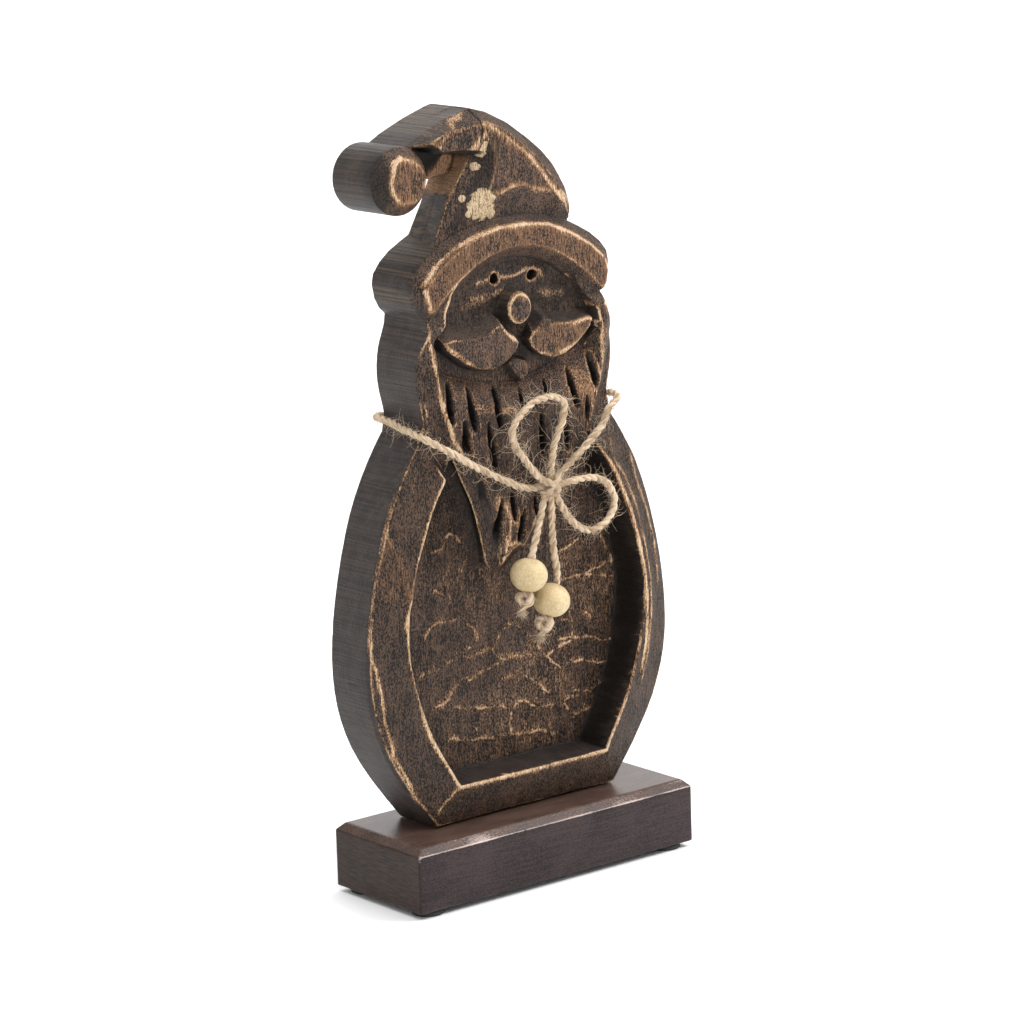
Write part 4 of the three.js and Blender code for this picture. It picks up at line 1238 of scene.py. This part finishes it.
def wear_body(s):
    s.draw(RIM_FACETS, 1.4, (0.9, 0.45, 0.9, 0.9, 0.7), s.rim, 0.25, 0.75)
    for line in RIM_SPLITS:
        s.mark("shade_and_grime", s.rim * s.line(line, 1.1))
    s.mark("rub_and_sheen", 0.34 * s.rim * s.area(RIM_RUB, 3.5, 99) * (0.6 + 0.5 * s.uneven))
    dashes = ramp(-0.45, 0.35, noise(s.points, (2.8, 9, 2.2), 87, 2))
    bare = (0.45 + 0.55 * s.uneven) * (0.42 + 0.58 * dashes)
    s.mark("wear", s.floor * bare * ramp(0.4, 0.95, s.ridge))
    s.mark("wear", s.floor * 0.34 * dashes * ramp(0.08, 0.45, s.ridge))
    speckle = np.maximum.reduce([s.spot(centre, radius) for centre, radius in PANEL_SPECKLE])
    s.mark("wear", s.floor * (0.05 + 0.15 * speckle))
    # Painted shade on the hollow slope left of the beard.
    left_slope = s.between(-9, 1.6) * ramp(-6, -14, s.x) * (s.z > 136) * (s.z < 198)
    s.mark("shade_and_grime", 0.3 * left_slope * (s.away(BEARD_LEFT_SIDE) < 12))
    s.mark("shade_and_grime", 0.24 * s.rim * s.unworn())
    s.mark("rub_and_sheen", 0.08 * ramp(52, 40, s.z) * s.rim)
    # Painted shade on the panel's right inner wall, which faces left.
    wall = (s.z < 195) * (s.z > 49) * s.between(-14, 1.5) * (1 - s.front) * (np.abs(s.x) < 66)
    s.mark("shade_and_grime", 0.82 * wall * ramp(0.2, -0.3, s.nx) * (s.x > 20))


def soften(s):
    """Rounds the face's forms a little more than the rest."""
    share = ramp(-4, -7, s.y) * ramp(214, 220, s.z) * ramp(264, 258, s.z)
    share *= 0.8 * ramp(47, 42, np.abs(s.x))
    s.ease(14, share)
    end = ramp(-43, -46, s.x) * ramp(244, 248, s.z) * ramp(276, 268, s.z) * (s.y < -3)
    s.ease(40, end)
    corner = np.maximum(s.spot((41, 238), 5), s.spot((-42, 237), 5)) * (s.y < -9.5)
    s.ease(40, np.maximum(corner, ramp(5, 1.5, s.away(BEARD_LEFT_EDGE)) * (s.y < -3)))
    s.refresh()


def rub_front(s):
    """The broad brown rubbing over what stands proudest, and how sawn and streaky each side is."""
    proudest = s.front * ramp(-13.4, -15.4, s.y)
    s.mark("rub_and_sheen", 0.41 * proudest * (s.z > 250) * (1 - 0.7 * s.spot((-27, 316), 16)))
    s.mark("rub_and_sheen", 0.42 * proudest * s.area(RIGHT_LOBE, 1, 93))
    s.mark("rub_and_sheen", 0.12 * proudest * s.area(LEFT_LOBE, 1, 92))
    pom = ramp(POM_RIGHT, POM_RIGHT - 3, s.x) * (s.z > POM_BOTTOM)
    s.mark("rub_and_sheen", 0.22 * pom * s.front * (s.y < -10) * (1 - s.pom_cut))
    s.mark("rub_and_sheen", 0.2 * pom * (1 - s.front))
    hat = ramp(243, 262, s.z) * (1 - pom)
    hat *= 0.5 + 1.5 * ramp(0.2, 0.5, s.nz)
    s.masks["streaky"] = hat + 0.25 * ramp(195, 215, s.z)
    s.masks["sawn"] = 1 - ramp(0.35, 0.7, np.abs(s.ny))


def carve_figure(material):
    s = Surface("carved_figure", FIGURE_VOXEL)
    for cut in (round_beard, cut_gouges, fill_beside_beard, bevel_pom):
        cut(s)
    s.relax(2)
    uneven = 0.2 * noise(s.points, 13, 5, 2) * s.front
    s.push(uneven + 0.07 * noise(s.points, (9, 30, 9), 8, 2) * (1 - s.front))
    s.push(0.045 * noise(s.points, (1.1, 2, 6), 9, 2) * s.front)
    for cut in (shape_face, scoop_panel, facet_rim, facet_crown):
        cut(s)
    for wear in (wear_edges, wear_pom, wear_notch, wear_crown, wear_face, wear_beard, wear_body):
        wear(s)
    soften(s)
    rub_front(s)
    mesh = thinned(s, FIGURE_FACES, PLAIN_FACES)
    return shown("santa_figure", mesh, material, "stained_wood", "carved_figure")


# The plinth and its feet

PLINTH_VOXEL = 0.6
CHAMFER_FOOT = 27.3
PAD_SIDES = 48


def shape_plinth(material):
    low = np.array(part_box("base_block")[0]) / MM
    s = Surface("base_block", PLINTH_VOXEL)
    s.relax(2)
    normals = s.normals
    nx, ny, nz = normals.T
    s.push(0.07 * noise(s.points, 16, 51, 2))
    crest = ramp(0.05, 0.42, relaxed(proud(s.points, normals, s.edges, 4), s.edges, 1))
    s.mark("wear", 0.8 * crest * ramp(18, 26, s.z))
    # The chamfers that face front and left get a grey band: partly wear, partly painted reflection.
    slope = ramp(0.25, 0.5, nz) * ramp(0.95, 0.85, nz)
    patches = 0.5 + 0.5 * noise(s.points, (14, 4, 4), 52, 2)
    s.mark("wear", slope * ramp(-0.3, -0.5, ny) * (0.2 + 0.5 * patches))
    s.mark("wear", slope * ramp(-0.3, -0.5, nx) * 0.3 * patches)
    foot_line = ramp(0.7, 0.1, np.abs(s.z - CHAMFER_FOOT))
    s.mark("wear", foot_line * ramp(-0.5, -0.7, ny) * (0.75 + 0.5 * patches))
    corner = ramp(2.2, 0.6, np.hypot(s.x - low[0], s.y - low[1]))
    s.mark("wear", corner * (0.3 + 0.5 * ramp(22, 29, s.z)))
    # Painted light on the faces that look up, and painted shade on the left end.
    s.masks["top"] = ramp(0.3, 0.8, nz)
    s.masks["shaded"] = ramp(0.5, 0.9, -nx)
    return shown("plinth", s.painted(), material, "plinth_wood", "base_block")


def press_feet(material):
    """Round rubber pads, each a little domed at its rim."""
    for node in (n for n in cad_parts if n.startswith("foot_")):
        low, high = (np.array(c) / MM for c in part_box(node))
        centre, radius, top = (low + high) / 2, (high[0] - low[0]) / 2, high[2]
        low_rim = [(radius - 0.7, 0), (radius - 0.2, 0.2), (radius, 0.8)]
        profile = [*low_rim, (radius, top - 0.4), (radius - 0.3, top)]
        turn = np.arange(PAD_SIDES) / PAD_SIDES * 2 * math.pi
        round_x, round_y = np.cos(turn), np.sin(turn)
        rings = [
            np.stack([centre[0] + r * round_x, centre[1] + r * round_y, np.full(PAD_SIDES, height)], 1)
            for r, height in profile
        ]
        points = np.vstack([*rings, (centre[0], centre[1], 0), (centre[0], centre[1], top)])
        faces = [band_faces(len(profile), PAD_SIDES), end_fans(len(profile), PAD_SIDES)]
        pad = mesh_object(node.replace("foot_", "pad_"), points, faces, material)
        settle(pad, "foot_rubber", node)


stand_camera()
tie_bow(bead_wood(), jute())
light_studio()
lay_floor()
carve_figure(stained_wood())
shape_plinth(plinth_wood())
press_feet(foot_rubber())
